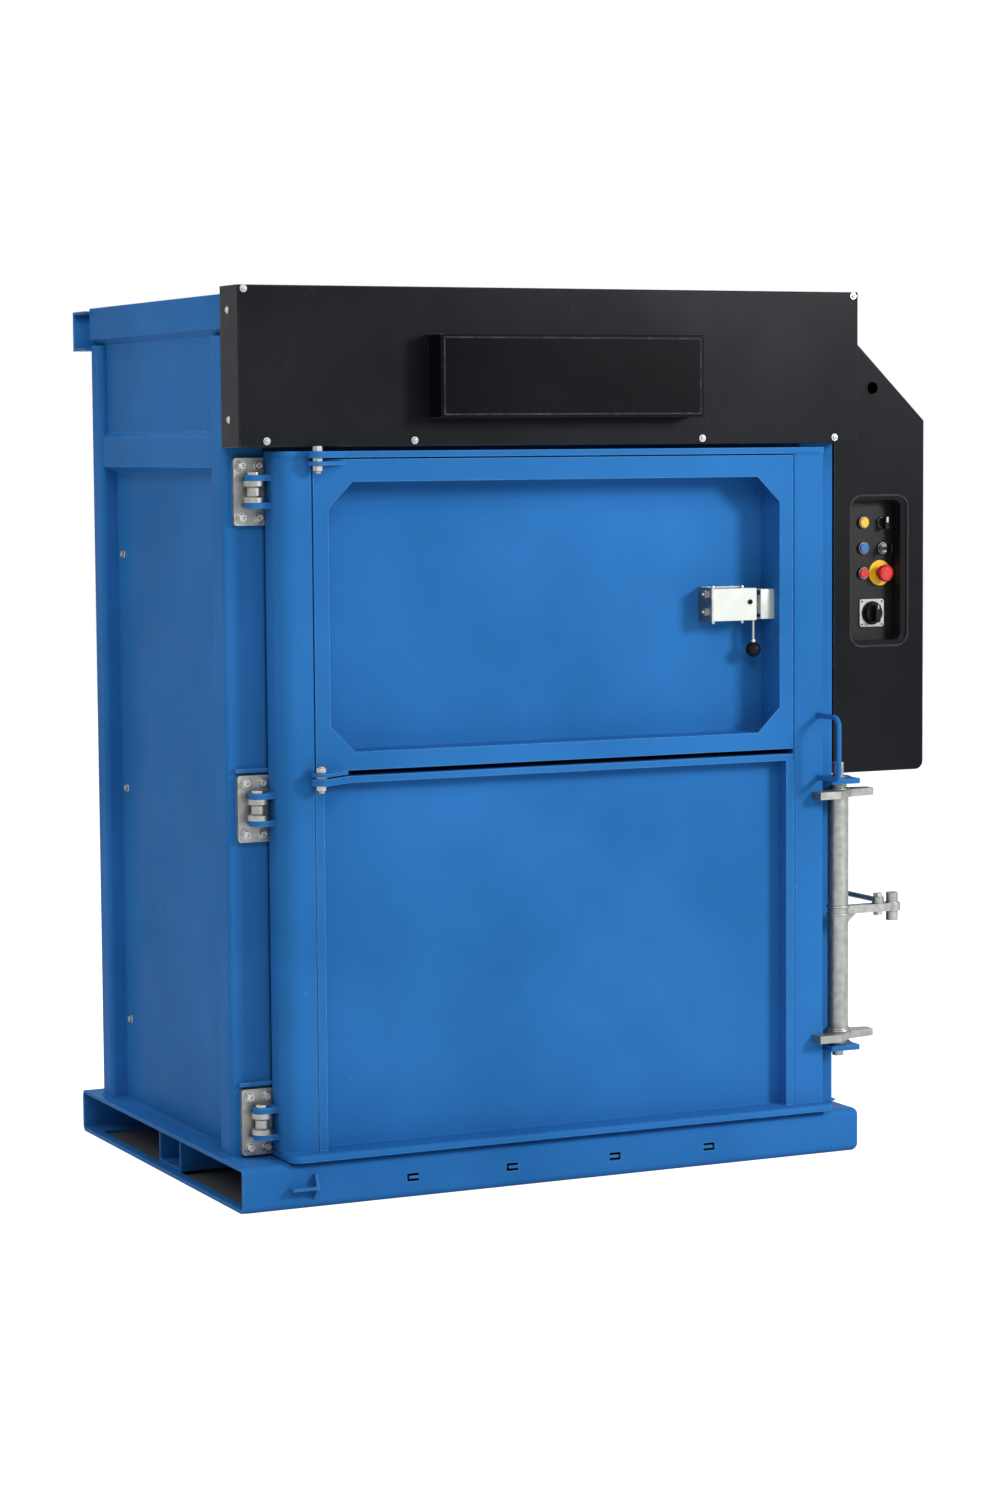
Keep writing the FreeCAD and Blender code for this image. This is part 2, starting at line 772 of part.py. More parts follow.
def hinges():
    plates, pins, screws, bars = [], [], [], []
    plate_face = "-post_front - hinge_plate_thick"
    for height in HINGES:
        plate = rounded_block(f"{height}_plate", "XZ",
                              ("-hinge_axis - hinge_plate_wide / 2", "-hinge_axis + hinge_plate_wide / 2"),
                              (f"{height} - hinge_plate_tall / 2", f"{height} + hinge_plate_tall / 2"),
                              (plate_face, "-post_front"), "hinge_plate_corner")
        half = "knuckle_tall / 2"
        rim = "knuckle_tall / 2 - knuckle_rim"
        waist = "knuckle_tall / 2 - knuckle_rim - knuckle_slope"
        knuckle = turned(f"{height}_knuckle", "up",
                         [("hinge_pin", f"-({half})"), ("knuckle_radius", f"-({half})"),
                          ("knuckle_radius", f"-({rim})"), ("knuckle_waist", f"-({waist})"),
                          ("knuckle_waist", waist), ("knuckle_radius", rim),
                          ("knuckle_radius", half), ("hinge_pin", half)],
                         (*HINGE_CENTRE, height))
        plates += [plate, knuckle]
        lug = f"({half} + lug_gap + lug_thick + lug_gap)"
        shaft = rod(f"{height}_pin", "up", "hinge_pin", (f"{height} - {lug}", f"{height} + {lug}"),
                    HINGE_CENTRE)
        head = rod(f"{height}_head", "up", "pin_head",
                   (f"{height} + {lug}", f"{height} + {lug} + pin_head_thick"), HINGE_CENTRE)
        pins.append(joined(f"{height}_bolt", shaft, head))
        for side in (-1, 1):
            for rise in (-1, 1):
                screws.append(rod(f"{height}_screw_{len(screws)}", "back", "hinge_screw_radius",
                                  (f"{plate_face} - hinge_screw_head", plate_face),
                                  (f"-hinge_axis + {side} * hinge_screw_across",
                                   f"{height} + {rise} * hinge_screw_up")))
    for height in HINGES[1:]:
        low = f"{height} + hinge_plate_tall / 2 + seat_bar_gap"
        bars.append(block(f"{height}_bar", ("-hinge_axis - seat_bar_half", "-hinge_axis + seat_bar_half"),
                          ("-post_front - seat_bar_thick", "-post_front"),
                          (low, f"{low} + seat_bar_tall")))
    node("hinge_plates", joined("hinge_leaves", *plates))
    node("hinge_pins", joined("hinge_bolts", *pins))
    node("hinge_screws", joined("hinge_heads", *screws))
    node("hinge_seat_bars", joined("hinge_bars", *bars))


# ---------------------------------------------------------------- door


DOOR_DEPTH = ("-door_front", "-door_front + door_depth")
INNER = "(door_half - door_post_wide)"
PIVOT = ("-pivot_across", "-pivot_forward")


def ear(name, ends, tail_right, tail_face):
    """A flat ear around the hatch pivot, with a sloped tail back to the face that carries it."""
    plate = profile(f"{name}_plate", "XY",
                    [("-pivot_across - hatch_gap", tail_face), (tail_right, tail_face),
                     ("-pivot_across + ear_radius * 0.6", "-pivot_forward - ear_radius * 0.75"),
                     ("-pivot_across - ear_radius * 0.95", "-pivot_forward")], *ends)
    eye = rod(f"{name}_eye", "up", "ear_radius", ends, PIVOT)
    bore = rod(f"{name}_bore", "up", "pivot_pin + pin_clearance",
               (f"{ends[0]} - ear_thick", f"{ends[1]} + ear_thick"), PIVOT)
    return cut(f"{name}_cut", joined(f"{name}_solid", plate, eye), bore)


def door_post(name, across, depth, front_left):
    """One skin of a door post, its front left edge folded to its own radius."""
    corners = rectangle(across, depth)
    skin = profile(name, "XY", corners, "door_low + sill_tall", "door_high - door_top_bar")
    rounded(skin, "door_edge", at_corners("XY", *corners[1:]))
    return rounded(skin, front_left, at_corners("XY", corners[0]))


def door_frame():
    pieces = []
    inner_depth = (f"{DOOR_DEPTH[0]} + door_wall", f"{DOOR_DEPTH[1]} - door_wall")
    for name, side in SIDES.items():
        across = span(side, INNER, "door_half")
        edges = ("door_left_edge", "door_left_edge - door_wall") if side < 0 else ("door_edge", "door_edge")
        outside = door_post(f"door_{name}_tube", across, DOOR_DEPTH, edges[0])
        inside = door_post(f"door_{name}_hollow", (f"{across[0]} + door_wall", f"{across[1]} - door_wall"),
                           inner_depth, edges[1])
        pieces.append(cut(f"door_{name}_post", outside, inside))
        lip_high = ("door_low + sill_tall", "transom_low")
        pieces.append(block(f"door_{name}_lip", span(side, f"{INNER} - lip_wide", INNER),
                            ("-door_front", "-door_front + door_wall"), lip_high))
        pieces.append(block(f"door_{name}_return",
                            span(side, f"{INNER} - lip_wide", f"{INNER} - lip_wide + door_wall"),
                            ("-door_front + door_wall", "-door_front + panel_recess"), lip_high))
    sill = profile("door_sill", "YZ",
                   rectangle(("-door_front - sill_reach", "-door_front + door_depth"),
                             ("door_low", "door_low + sill_tall")), "-door_half", "door_half")
    rounded(sill, "sill_corner", at_corners("XY", ("-door_half", "-door_front - sill_reach")))
    rounded(sill, "sill_edge", at_corners("YZ", ("-door_front - sill_reach", "door_low + sill_tall")))
    pieces.append(sill)
    top_bar = profile("door_top_bar", "XY", rectangle(("-door_half", "door_half"), DOOR_DEPTH),
                      "door_high - door_top_bar", "door_high")
    pieces.append(rounded(top_bar, "door_left_edge", at_corners("XY", ("-door_half", "-door_front"))))
    pieces.append(block("door_transom", (f"-{INNER}", INNER), DOOR_DEPTH,
                        ("transom_low", "transom_high")))
    pieces.append(ear("door_top_ear", ("door_high - door_top_bar", "door_high"),
                      "-pivot_across + ear_tail", "-door_front"))
    pieces.append(ear("door_low_ear", ("transom_low", "transom_high"),
                      "-pivot_across + ear_tail", "-door_front"))
    bolt_way = rod("door_bolt_way", "right", "bolt_radius + bolt_hole_clearance",
                   (f"{INNER} - hatch_gap", f"{INNER} + door_wall * 2"),
                   ("-latch_forward", "latch_height"))
    node("door_frame", cut("door_frame_cut", joined("door_frame_solid", *pieces), bolt_way))


def door_fittings():
    node("door_lower_panel",
         block("lower_panel", (f"-{INNER}", INNER),
               ("-door_front + panel_recess", "-door_front + panel_recess + panel_plate"),
               ("door_low + sill_tall", "transom_low")))

    lugs = []
    for height in HINGES:
        for side in (-1, 1):
            middle = f"{height} + {side} * (knuckle_tall / 2 + lug_gap + lug_thick / 2)"
            ends = (f"{middle} - lug_thick / 2", f"{middle} + lug_thick / 2")
            eye = rod(f"{height}_eye_{len(lugs)}", "up", "lug_radius", ends, HINGE_CENTRE)
            arm = block(f"{height}_arm_{len(lugs)}", ("-hinge_axis", "-door_half"),
                        ("-hinge_forward - lug_radius", "-hinge_forward + lug_radius"), ends)
            bore = rod(f"{height}_bore_{len(lugs)}", "up", "hinge_pin + pin_clearance",
                       (f"{ends[0]} - lug_gap", f"{ends[1]} + lug_gap"), HINGE_CENTRE)
            lugs.append(cut(f"{height}_lug_{len(lugs)}", joined(f"{height}_lug_solid_{len(lugs)}",
                                                               eye, arm), bore))
    node("door_hinge_lugs", joined("lugs", *lugs))

    front = "-door_front - handle_reach + handle_radius"
    high, low = "handle_high - handle_radius", "handle_low + handle_radius"
    grip = rod("handle_grip", "up", "handle_radius", (f"{low} + handle_bend", f"{high} - handle_bend"),
               ("handle_across", front))
    pieces = [grip]
    for name, height, rise in (("upper", high, 1), ("lower", low, -1)):
        pieces.append(rod(f"handle_{name}_leg", "back", "handle_radius",
                          (f"{front} + handle_bend", "-door_front"), ("handle_across", height)))
        bend = doc.addObject("Part::Torus", f"handle_{name}_bend")
        forward, upward = FreeCAD.Vector(0, -1, 0), FreeCAD.Vector(0, 0, rise)
        first, second = (upward, forward) if rise > 0 else (forward, upward)
        turn = FreeCAD.Rotation(first, second, first.cross(second), "ZXY")
        bend.Placement = FreeCAD.Placement(FreeCAD.Vector(), turn)
        bend.Angle3 = 90
        bend.setExpression("Radius1", bound("handle_bend"))
        bend.setExpression("Radius2", bound("handle_radius"))
        centre = ("handle_across", f"{front} + handle_bend", f"{height} - {rise} * handle_bend")
        for axis, value in zip("xyz", centre):
            bend.setExpression(f"Placement.Base.{axis}", bound(value))
        pieces.append(bend)
    node("door_handle", joined("handle", *pieces))


# ---------------------------------------------------------------- hatch


HATCH_HALF = f"({INNER} - hatch_gap)"
HATCH_BACK = "(-door_front + hatch_depth)"


def hatch():
    half, stile = HATCH_HALF, f"({HATCH_HALF} - hatch_stile)"
    rails = ("hatch_low + hatch_bottom_rail", "hatch_high - hatch_top_rail")
    outer = block("hatch_outer", (f"-{half}", half), ("-door_front", HATCH_BACK),
                  ("hatch_low", "hatch_high"))
    window = block("hatch_window", (f"-{stile}", stile),
                   ("-door_front - hatch_plate", f"{HATCH_BACK} + hatch_plate"), rails)
    hollow_outer = block("hatch_hollow_outer", (f"-{half} + hatch_plate", f"{half} - hatch_plate"),
                         ("-door_front + hatch_plate", f"{HATCH_BACK} + hatch_plate"),
                         ("hatch_low + hatch_plate", "hatch_high - hatch_plate"))
    hollow_inner = block("hatch_hollow_inner", (f"-{stile} - hatch_plate", f"{stile} + hatch_plate"),
                         ("-door_front", f"{HATCH_BACK} + hatch_plate * 2"),
                         (f"{rails[0]} - hatch_plate", f"{rails[1]} + hatch_plate"))
    hollow = cut("hatch_hollow", hollow_outer, hollow_inner)
    bolt_way = rod("hatch_bolt_way", "right", "bolt_radius + bolt_hole_clearance",
                   (f"{stile} - hatch_plate", f"{half} + hatch_plate"),
                   ("-latch_forward", "latch_height"))
    pieces = [cut("hatch_ring", outer, window, hollow, bolt_way)]
    for name, side in SIDES.items():
        for rail, rise in zip(rails, (1, -1)):
            edge = f"{side} * {stile}"
            pieces.append(profile(f"gusset_{name}_{len(pieces)}", "XZ",
                                  [(edge, rail), (f"{edge} - {side} * hatch_gusset", rail),
                                   (edge, f"{rail} + {rise} * hatch_gusset")],
                                  "-door_front", "-door_front + hatch_plate"))
    top = "hatch_high - ear_drop"
    pieces.append(ear("hatch_top_ear", (f"{top} - ear_thick", top), "-pivot_across + ear_tail",
                      "-door_front"))
    seat = ("hatch_low - ear_thick", "hatch_low")
    pieces.append(ear("hatch_low_ear", seat, "-pivot_across + ear_tail", "-door_front"))
    pieces.append(block("hatch_ear_seat", (f"-{half}", "-pivot_across + ear_tail"),
                        ("-door_front", "-door_front + ear_seat"), seat))
    node("hatch_frame", joined("hatch_frame_solid", *pieces))
    node("hatch_panel", block("hatch_sheet", (f"-{half}", half),
                              (HATCH_BACK, f"{HATCH_BACK} + hatch_panel_plate"),
                              ("hatch_low", "hatch_high")))

    ear_low, ear_high = "hatch_high - ear_drop - ear_thick", "hatch_high - ear_drop"
    bar_low = "door_high - door_top_bar"
    upper = [("pivot_pin", f"{ear_low} - stack_gap", "door_high"),
             ("pivot_nut", "door_high", "door_high + pivot_nut_thick"),
             ("pivot_nut", f"{ear_low} - stack_gap - pivot_nut_thick", f"{ear_low} - stack_gap"),
             ("pivot_nut", f"{ear_high} + stack_gap", bar_low)]
    lower = [("pivot_pin", "transom_low", "hatch_low + stack_gap"),
             ("pivot_nut", "hatch_low + stack_gap", "hatch_low + stack_gap + pivot_nut_thick"),
             ("pivot_nut", "transom_low - pivot_nut_thick", "transom_low"),
             ("pivot_nut", "transom_high", "hatch_low - ear_thick - stack_gap")]
    bolts = []
    for stack in (upper, lower):
        discs = [rod(f"pivot_{len(bolts)}_{place}", "up", radius, (low, high), PIVOT)
                 for place, (radius, low, high) in enumerate(stack)]
        bolts.append(joined(f"pivot_bolt_{len(bolts)}", *discs))
    node("hatch_pins", joined("pivot_bolts", *bolts))


def latch():
    right = "latch_left + latch_long"
    back = f"({HATCH_BACK} - latch_plate)"
    high = ("latch_box_low - latch_wall", "latch_box_high + latch_wall")
    base = block("latch_base", ("latch_left - latch_plate", right), (back, HATCH_BACK), high)
    flange = block("latch_flange", ("latch_left - latch_plate", "latch_left"),
                   ("-latch_front", back), high)
    pieces = [base, flange]
    for rise in ("latch_nut_up", "-latch_nut_down"):
        pieces.append(rod(f"latch_nut_{len(pieces)}", "right", "latch_nut",
                          ("latch_left - latch_plate - latch_nut", "latch_left - latch_plate"),
                          ("-latch_forward", f"latch_height + {rise}")))
    node("latch_bracket", joined("latch_bracket_solid", *pieces))

    box = rounded_block("latch_case", "XZ", ("latch_left", right), ("latch_box_low", "latch_box_high"),
                        ("-latch_front", back), "latch_wall")
    cavity = block("latch_cavity", ("latch_left + latch_wall", f"{right} + latch_wall"),
                   ("-latch_forward - bolt_radius * 1.5", "-latch_forward + bolt_radius * 1.5"),
                   ("latch_height - bolt_radius * 1.5", "latch_height + bolt_radius * 1.5"))
    lever_slot = block("latch_lever_slot",
                       ("lever_across - bolt_travel - lever_radius * 2", f"{right} + latch_wall"),
                       ("-latch_forward - lever_radius * 2", "-latch_forward + lever_radius * 2"),
                       ("latch_box_low - latch_wall", "latch_height"))
    studs = []
    for step in (0, 1):
        across = f"latch_left + latch_wall * 2 + {step} * latch_stud_pitch"
        for low, top in (("latch_box_high", "latch_box_high + latch_wall * 2"),
                         ("latch_box_low - latch_wall * 2", "latch_box_low")):
            studs.append(rod(f"latch_stud_{len(studs)}", "up", "latch_stud", (low, top),
                             (across, "-latch_front + latch_wall * 4")))
    node("latch_box", joined("latch_box_solid", cut("latch_box_cut", box, cavity, lever_slot), *studs))

    stile = f"({HATCH_HALF} - hatch_stile)"
    guide = block("latch_guide_block", ("guide_left", stile),
                  ("-latch_forward - guide_half", "-latch_forward + guide_half"),
                  ("latch_height - guide_half", "latch_height + guide_half"))
    bore = rod("latch_guide_bore", "right", "bolt_radius + bolt_clearance",
               ("guide_left - hatch_plate", f"{stile} + hatch_plate"), ("-latch_forward", "latch_height"))
    node("latch_guide", cut("latch_guide_cut", guide, bore))

    axis = ("-latch_forward", "latch_height")
    bolt_ends = ("bolt_left", f"{INNER} + bolt_engaged")
    node("latch_bolt", rod("latch_rod", "right", "bolt_radius", bolt_ends, axis))
    stem = rod("lever_stem", "up", "lever_radius", ("latch_height - lever_drop", "latch_height"),
               ("lever_across", "-latch_forward"))
    stem = cut("lever_stem_cut", stem, rod("lever_saddle", "right", "bolt_radius", bolt_ends, axis))
    grip = ball("ball_grip", "ball_radius", ("lever_across", "-latch_forward", "latch_height - lever_drop"))
    node("latch_lever", cut("lever_stem_end", stem, grip))
    node("lever_ball", grip)


# ---------------------------------------------------------------- claw lock


LOCK = ("lock_across", "-lock_forward")


def lock_mounts():
    plates, pins = [], []
    stations = (("high", "lock_high", "lock_high + lock_bracket_thick"),
                ("low", "lock_low - lock_bracket_thick", "lock_low"))
    for name, low, high in stations:
        front = "-lock_forward - lock_bracket_half"
        ends = ("lock_across - lock_bracket_half", "lock_across + lock_bracket_half")
        plate = profile(f"lock_{name}_plate", "XY",
                        [(ends[0], "-post_front"), ("post_outer - post_bend", "-post_front"),
                         (f"{ends[1]} + lock_bracket_wing / 2", "-post_front - lock_bracket_wing"),
                         (ends[1], "-lock_forward"), (ends[1], front), (ends[0], front)], low, high)
        rounded(plate, "lock_bracket_corner", at_corners("XY", (ends[1], front), (ends[0], front)))
        bore = rod(f"lock_{name}_bore", "up", "lock_pin",
                   (f"{low} - lock_pin", f"{high} + lock_pin"), LOCK)
        plates.append(cut(f"lock_{name}_bracket", plate, bore))
    pins.append(rod("lock_high_pin", "up", "lock_pin",
                    ("lock_high - bush_long", "lock_high + lock_pin_high"), LOCK))
    pins.append(rod("lock_low_pin", "up", "lock_pin",
                    ("lock_low - lock_pin_low", "lock_low + bush_long"), LOCK))
    node("lock_brackets", joined("lock_plates", *plates))
    node("lock_pins", joined("lock_spigots", *pins))

    wall = "post_outer - wall_recess"
    deep = ("-pull_guide_rear - pull_guide_plate", "-pull_guide_rear")
    middle = "(arm_low + arm_thick + eye_thick / 2)"
    reach = "clevis_across + pull_guide_past"
    below = (f"{middle} - pull_slot_half - pull_guide_bar", f"{middle} - pull_slot_half")
    above = (f"{middle} + pull_slot_half", f"{middle} + pull_slot_half + pull_guide_bar")
    bars = [block("guide_foot", (wall, "clevis_across - pull_slot_half * 7"), deep, (below[0], above[1])),
            block("guide_bar_below", (wall, reach), deep, below),
            block("guide_bar_above", (wall, reach), deep, above)]
    node("lock_rod_guide", joined("rod_guide", *bars))


def lock_shaft():
    ends = ("lock_low + stack_gap", "lock_high - stack_gap")
    body = ("lock_low + claw_inset - stack_gap", "lock_high - claw_inset + stack_gap")
    tube = rod("lock_tube_body", "up", "lock_tube", body, LOCK)
    collars = rod("lock_collars", "up", "lock_collar", ends, LOCK)
    bore = rod("lock_pin_bore", "up", "lock_pin + pin_clearance",
               (f"{ends[0]} - lock_pin", f"{ends[1]} + lock_pin"), LOCK)
    hollow = rod("lock_hollow", "up", "lock_bore",
                 ("lock_low + bush_long + claw_inset", "lock_high - bush_long - claw_inset"), LOCK)
    shaft = cut("lock_shaft_cut", joined("lock_shaft_solid", tube, collars), bore, hollow)
    node("lock_shaft", shaft)

    rear = "-door_front - claw_gap"
    tail = ("claw_tail", "claw_tail_half")
    outline = [("claw_tip", rear), ("claw_tip", "-claw_front"),
               ("lock_across - claw_radius * 0.9", "-claw_front"),
               ("lock_across + claw_radius * 0.5", "-lock_forward - claw_radius * 0.87"),
               (tail[0], f"-lock_forward - {tail[1]}"), (tail[0], f"-lock_forward + {tail[1]}"),
               ("lock_across + claw_radius * 0.5", "-lock_forward + claw_radius * 0.87"),
               ("lock_across - claw_radius", "-lock_forward"),
               ("lock_across - claw_radius", rear)]
    claws = []
    stations = (("high", "lock_high - claw_inset - claw_thick", "lock_high - claw_inset"),
                ("low", "lock_low + claw_inset", "lock_low + claw_inset + claw_thick"))
    for name, low, high in stations:
        hook = profile(f"claw_{name}_hook", "XY", outline, low, high)
        hub = rod(f"claw_{name}_hub", "up", "claw_radius", (low, high), LOCK)
        way = rod(f"claw_{name}_way", "up", "lock_tube", (f"{low} - claw_thick", f"{high} + claw_thick"),
                  LOCK)
        claws.append(cut(f"claw_{name}", joined(f"claw_{name}_solid", hook, hub), way))
    node("lock_claws", joined("claws", *claws))


def lock_arm():
    top = "arm_low + arm_thick"
    clevis = ("clevis_across", "-lock_forward")
    arm = block("arm_bar", ("lock_across", "boss_across"),
                ("-lock_forward - arm_half", "-lock_forward + arm_half"), ("arm_low", top))
    tip = ("boss_across", "-lock_forward")
    end = rod("arm_end", "up", "arm_end_radius", ("arm_low", top), tip)
    boss = rod("arm_boss", "up", "boss_radius", ("boss_low", "boss_high"), tip)
    gusset = profile("arm_gusset", "XZ",
                     [("lock_across + lock_tube * 0.9", "arm_low"),
                      ("lock_across + lock_tube + gusset_leg", "arm_low"),
                      ("lock_across + lock_tube * 0.9", "arm_low - gusset_leg")],
                     "-lock_forward - gusset_half", "-lock_forward + gusset_half")
    way = rod("arm_way", "up", "lock_tube", ("arm_low - gusset_leg * 2", f"{top} + arm_thick"), LOCK)
    socket = rod("arm_socket", "up", "boss_bore", ("arm_low", "boss_high + arm_thick"), tip)
    pin_top = f"{top} + eye_thick + stack_gap * 2"
    pin = rod("clevis_shank", "up", "clevis_pin", ("arm_low - clevis_head_thick", pin_top), clevis)
    head = rod("clevis_cap", "up", "clevis_head", (pin_top, f"{pin_top} + clevis_head_thick"), clevis)
    nut = rod("clevis_nut", "up", "clevis_head", ("arm_low - clevis_head_thick", "arm_low"), clevis)
    node("lock_arm", joined("arm", cut("arm_cut", joined("arm_solid", arm, end, boss, gusset), way, socket),
                            pin, head, nut))

    eye_ends = (f"{top} + stack_gap", f"{top} + stack_gap + eye_thick")
    middle = "arm_low + arm_thick + eye_thick / 2"
    eye = rod("pull_eye", "up", "eye_radius", eye_ends, clevis)
    bore = rod("pull_bore", "up", "clevis_pin + pin_clearance", (top, f"{top} + eye_thick * 2"), clevis)
    bar = rod("pull_bar", "back", "pull_radius",
              ("-lock_forward + clevis_head", "-pull_end"), ("clevis_across", middle))
    grip = rod("pull_grip", "back", "pull_grip_radius",
               ("-pull_end", "-pull_end + pull_grip_long"), ("clevis_across", middle))
    node("lock_pull_rod", joined("pull_rod", cut("pull_eye_cut", eye, bore), bar, grip))


# ---------------------------------------------------------------- cabinet


FACE = "-post_front"
PLATE_FACE = "(-post_front + tub_sink)"
FLARE_BACK = "(-post_front + tub_flare)"

# The controls stand in columns and rows; the tub and the cabinet's side are drawn round them
BUTTON_COLUMN = "(post_outer + button_column)"
SELECTOR_COLUMN = f"({BUTTON_COLUMN} + column_pitch)"
ESTOP_COLUMN = f"({BUTTON_COLUMN} + collar_radius + estop_gap + estop_disc)"
SWITCH_COLUMN = f"({BUTTON_COLUMN} + switch_past)"
TUB_LEFT = f"({BUTTON_COLUMN} - collar_radius - tub_left_side - tub_slope)"
TUB_RIGHT = f"({ESTOP_COLUMN} + estop_disc + tub_right_side + tub_slope)"
CABINET_RIGHT = f"({TUB_RIGHT} + cabinet_side)"
TUB_HIGH = "(cabinet_high - tub_drop)"
YELLOW_ROW = f"({TUB_HIGH} - row_top)"
SELECTOR_ROW = f"({YELLOW_ROW} - selector_drop)"
BLUE_ROW = f"({YELLOW_ROW} - row_pitch)"
KEY_ROW = f"({BLUE_ROW} - selector_drop)"
RED_ROW = f"({BLUE_ROW} - estop_row)"
SWITCH_ROW = f"({RED_ROW} - estop_disc - switch_gap - switch_plate)"
TUB_LOW = f"({SWITCH_ROW} - switch_plate - tub_foot - tub_slope)"


def cabinet_outline(inset):
    """The cabinet's front outline with its sloped top corner, set in by a plate's thickness."""
    return [(f"post_outer + {inset}", f"cabinet_low + {inset}"),
            (f"{CABINET_RIGHT} - {inset}", f"cabinet_low + {inset}"),
            (f"{CABINET_RIGHT} - {inset}", f"cabinet_high - chamfer_drop - {inset}"),
            (f"post_outer + chamfer_start - {inset} / 2", f"cabinet_high - {inset}"),
            (f"post_outer + {inset}", f"cabinet_high - {inset}")]


def cabinet():
    rear = "-post_front + cabinet_depth"
    shell = profile("cabinet_block", "XZ", cabinet_outline(0), FACE, rear)
    rounded(shell, "cabinet_corner", at_corners("XZ", (CABINET_RIGHT, "cabinet_low")))
    inside = profile("cabinet_inside", "XZ", cabinet_outline("cabinet_plate"),
                     f"{FACE} + cabinet_plate", f"{rear} + cabinet_plate")
    rounded(inside, "cabinet_corner - cabinet_plate",
            at_corners("XZ", (f"{CABINET_RIGHT} - cabinet_plate", "cabinet_low + cabinet_plate")))
    hole = rod("cabinet_hole_cut", "back", "cabinet_hole",
               (f"{FACE} - cabinet_plate", f"{FACE} + cabinet_plate * 2"),
               (f"{CABINET_RIGHT} - cabinet_hole_in", "cabinet_high - cabinet_hole_drop"))
    tub_way = rounded_block("cabinet_tub_way", "XZ", (TUB_LEFT, TUB_RIGHT), (TUB_LOW, TUB_HIGH),
                            (f"{FACE} - cabinet_plate", f"{FACE} + cabinet_plate * 2"), "tub_corner")
    node("cabinet_shell", cut("cabinet_cut", shell, inside, hole, tub_way))
    cover = profile("cabinet_cover", "XZ", cabinet_outline(0), rear, f"{rear} + cabinet_plate")
    rounded(cover, "cabinet_corner", at_corners("XZ", (CABINET_RIGHT, "cabinet_low")))
    node("cabinet_rear_cover", cover)

    low = "cabinet_low + cabinet_plate"
    node("oil_tank", block("tank", ("post_outer + tank_wall_gap", f"{CABINET_RIGHT} - tank_wall_gap"),
                           ("-tank_front", f"{rear} - tank_wall_gap"), (low, f"{low} + tank_tall")))
    motor = [(0, 0), ("motor_radius * 1.1", 0), ("motor_radius * 1.1", "motor_tall * 0.08"),
             ("motor_radius", "motor_tall * 0.08"), ("motor_radius", "motor_tall * 0.7"),
             ("motor_radius * 0.92", "motor_tall * 0.95"), ("motor_radius * 0.8", "motor_tall"),
             (0, "motor_tall")]
    node("pump_motor", turned("motor", "up", motor, ("post_outer + motor_in", 0, f"{low} + tank_tall")))


def rim_edges(body, place):
    """Names of the body's edges that lie in one plane square to Y."""
    depth = size(place)
    return [f"Edge{number}" for number, edge in enumerate(body.Tip.Shape.Edges, start=1)
            if all(abs(vertex.Point.y - depth) < NEAR for vertex in edge.Vertexes)]


def control_tub():
    across, high = (TUB_LEFT, TUB_RIGHT), (TUB_LOW, TUB_HIGH)
    back = f"{PLATE_FACE} + cabinet_plate"
    outer = rounded_block("tub_block", "XZ", across, high, (FACE, back), "tub_corner")
    floor = rectangle((f"{TUB_LEFT} + tub_slope", f"{TUB_RIGHT} - tub_slope"),
                      (f"{TUB_LOW} + tub_slope", f"{TUB_HIGH} - tub_slope"))
    cavity = profile("tub_cavity", "XZ", floor, FACE, PLATE_FACE)
    rounded(cavity, "tub_inner_corner", at_corners("XZ", *floor))
    mouth = rectangle((f"{TUB_LEFT} + cabinet_plate", f"{TUB_RIGHT} - cabinet_plate"),
                      (f"{TUB_LOW} + cabinet_plate", f"{TUB_HIGH} - cabinet_plate"))
    flare = profile("tub_flare", "XZ", mouth, f"{FACE} - cabinet_plate", FLARE_BACK)
    rounded(flare, "tub_corner - cabinet_plate", at_corners("XZ", *mouth))
    straight, rim = flare.Tip, rim_edges(flare, FLARE_BACK)
    bevel = flare.newObject("PartDesign::Chamfer", "tub_bevel")
    bevel.Base = (straight, rim)
    bevel.setExpression("Size", bound("tub_slope - cabinet_plate"))
    ways = []
    for height in BUTTONS.values():
        ways.append(rod(f"tub_way_{len(ways)}", "back", "button_radius + button_clearance",
                        (f"{PLATE_FACE} - cabinet_plate", f"{back} + cabinet_plate"),
                        (BUTTON_COLUMN, height)))
    ways.append(rod("tub_way_estop", "back", "estop_neck + button_clearance",
                    (f"{PLATE_FACE} - cabinet_plate", f"{back} + cabinet_plate"),
                    (ESTOP_COLUMN, RED_ROW)))
    node("control_tub", cut("tub_cut", outer, cavity, flare, *ways))


# ---------------------------------------------------------------- controls


BUTTONS = {"yellow_button": YELLOW_ROW, "blue_button": BLUE_ROW, "red_button": RED_ROW}


def ring(name, outer, inner, tall, across, height):
    """A collar that stands on the control plate."""
    return turned(name, "front", [(inner, 0), (outer, 0), (outer, f"({tall}) * 0.7"),
                                  (f"{outer} - 1", tall), (inner, tall)],
                  (across, PLATE_FACE, height))


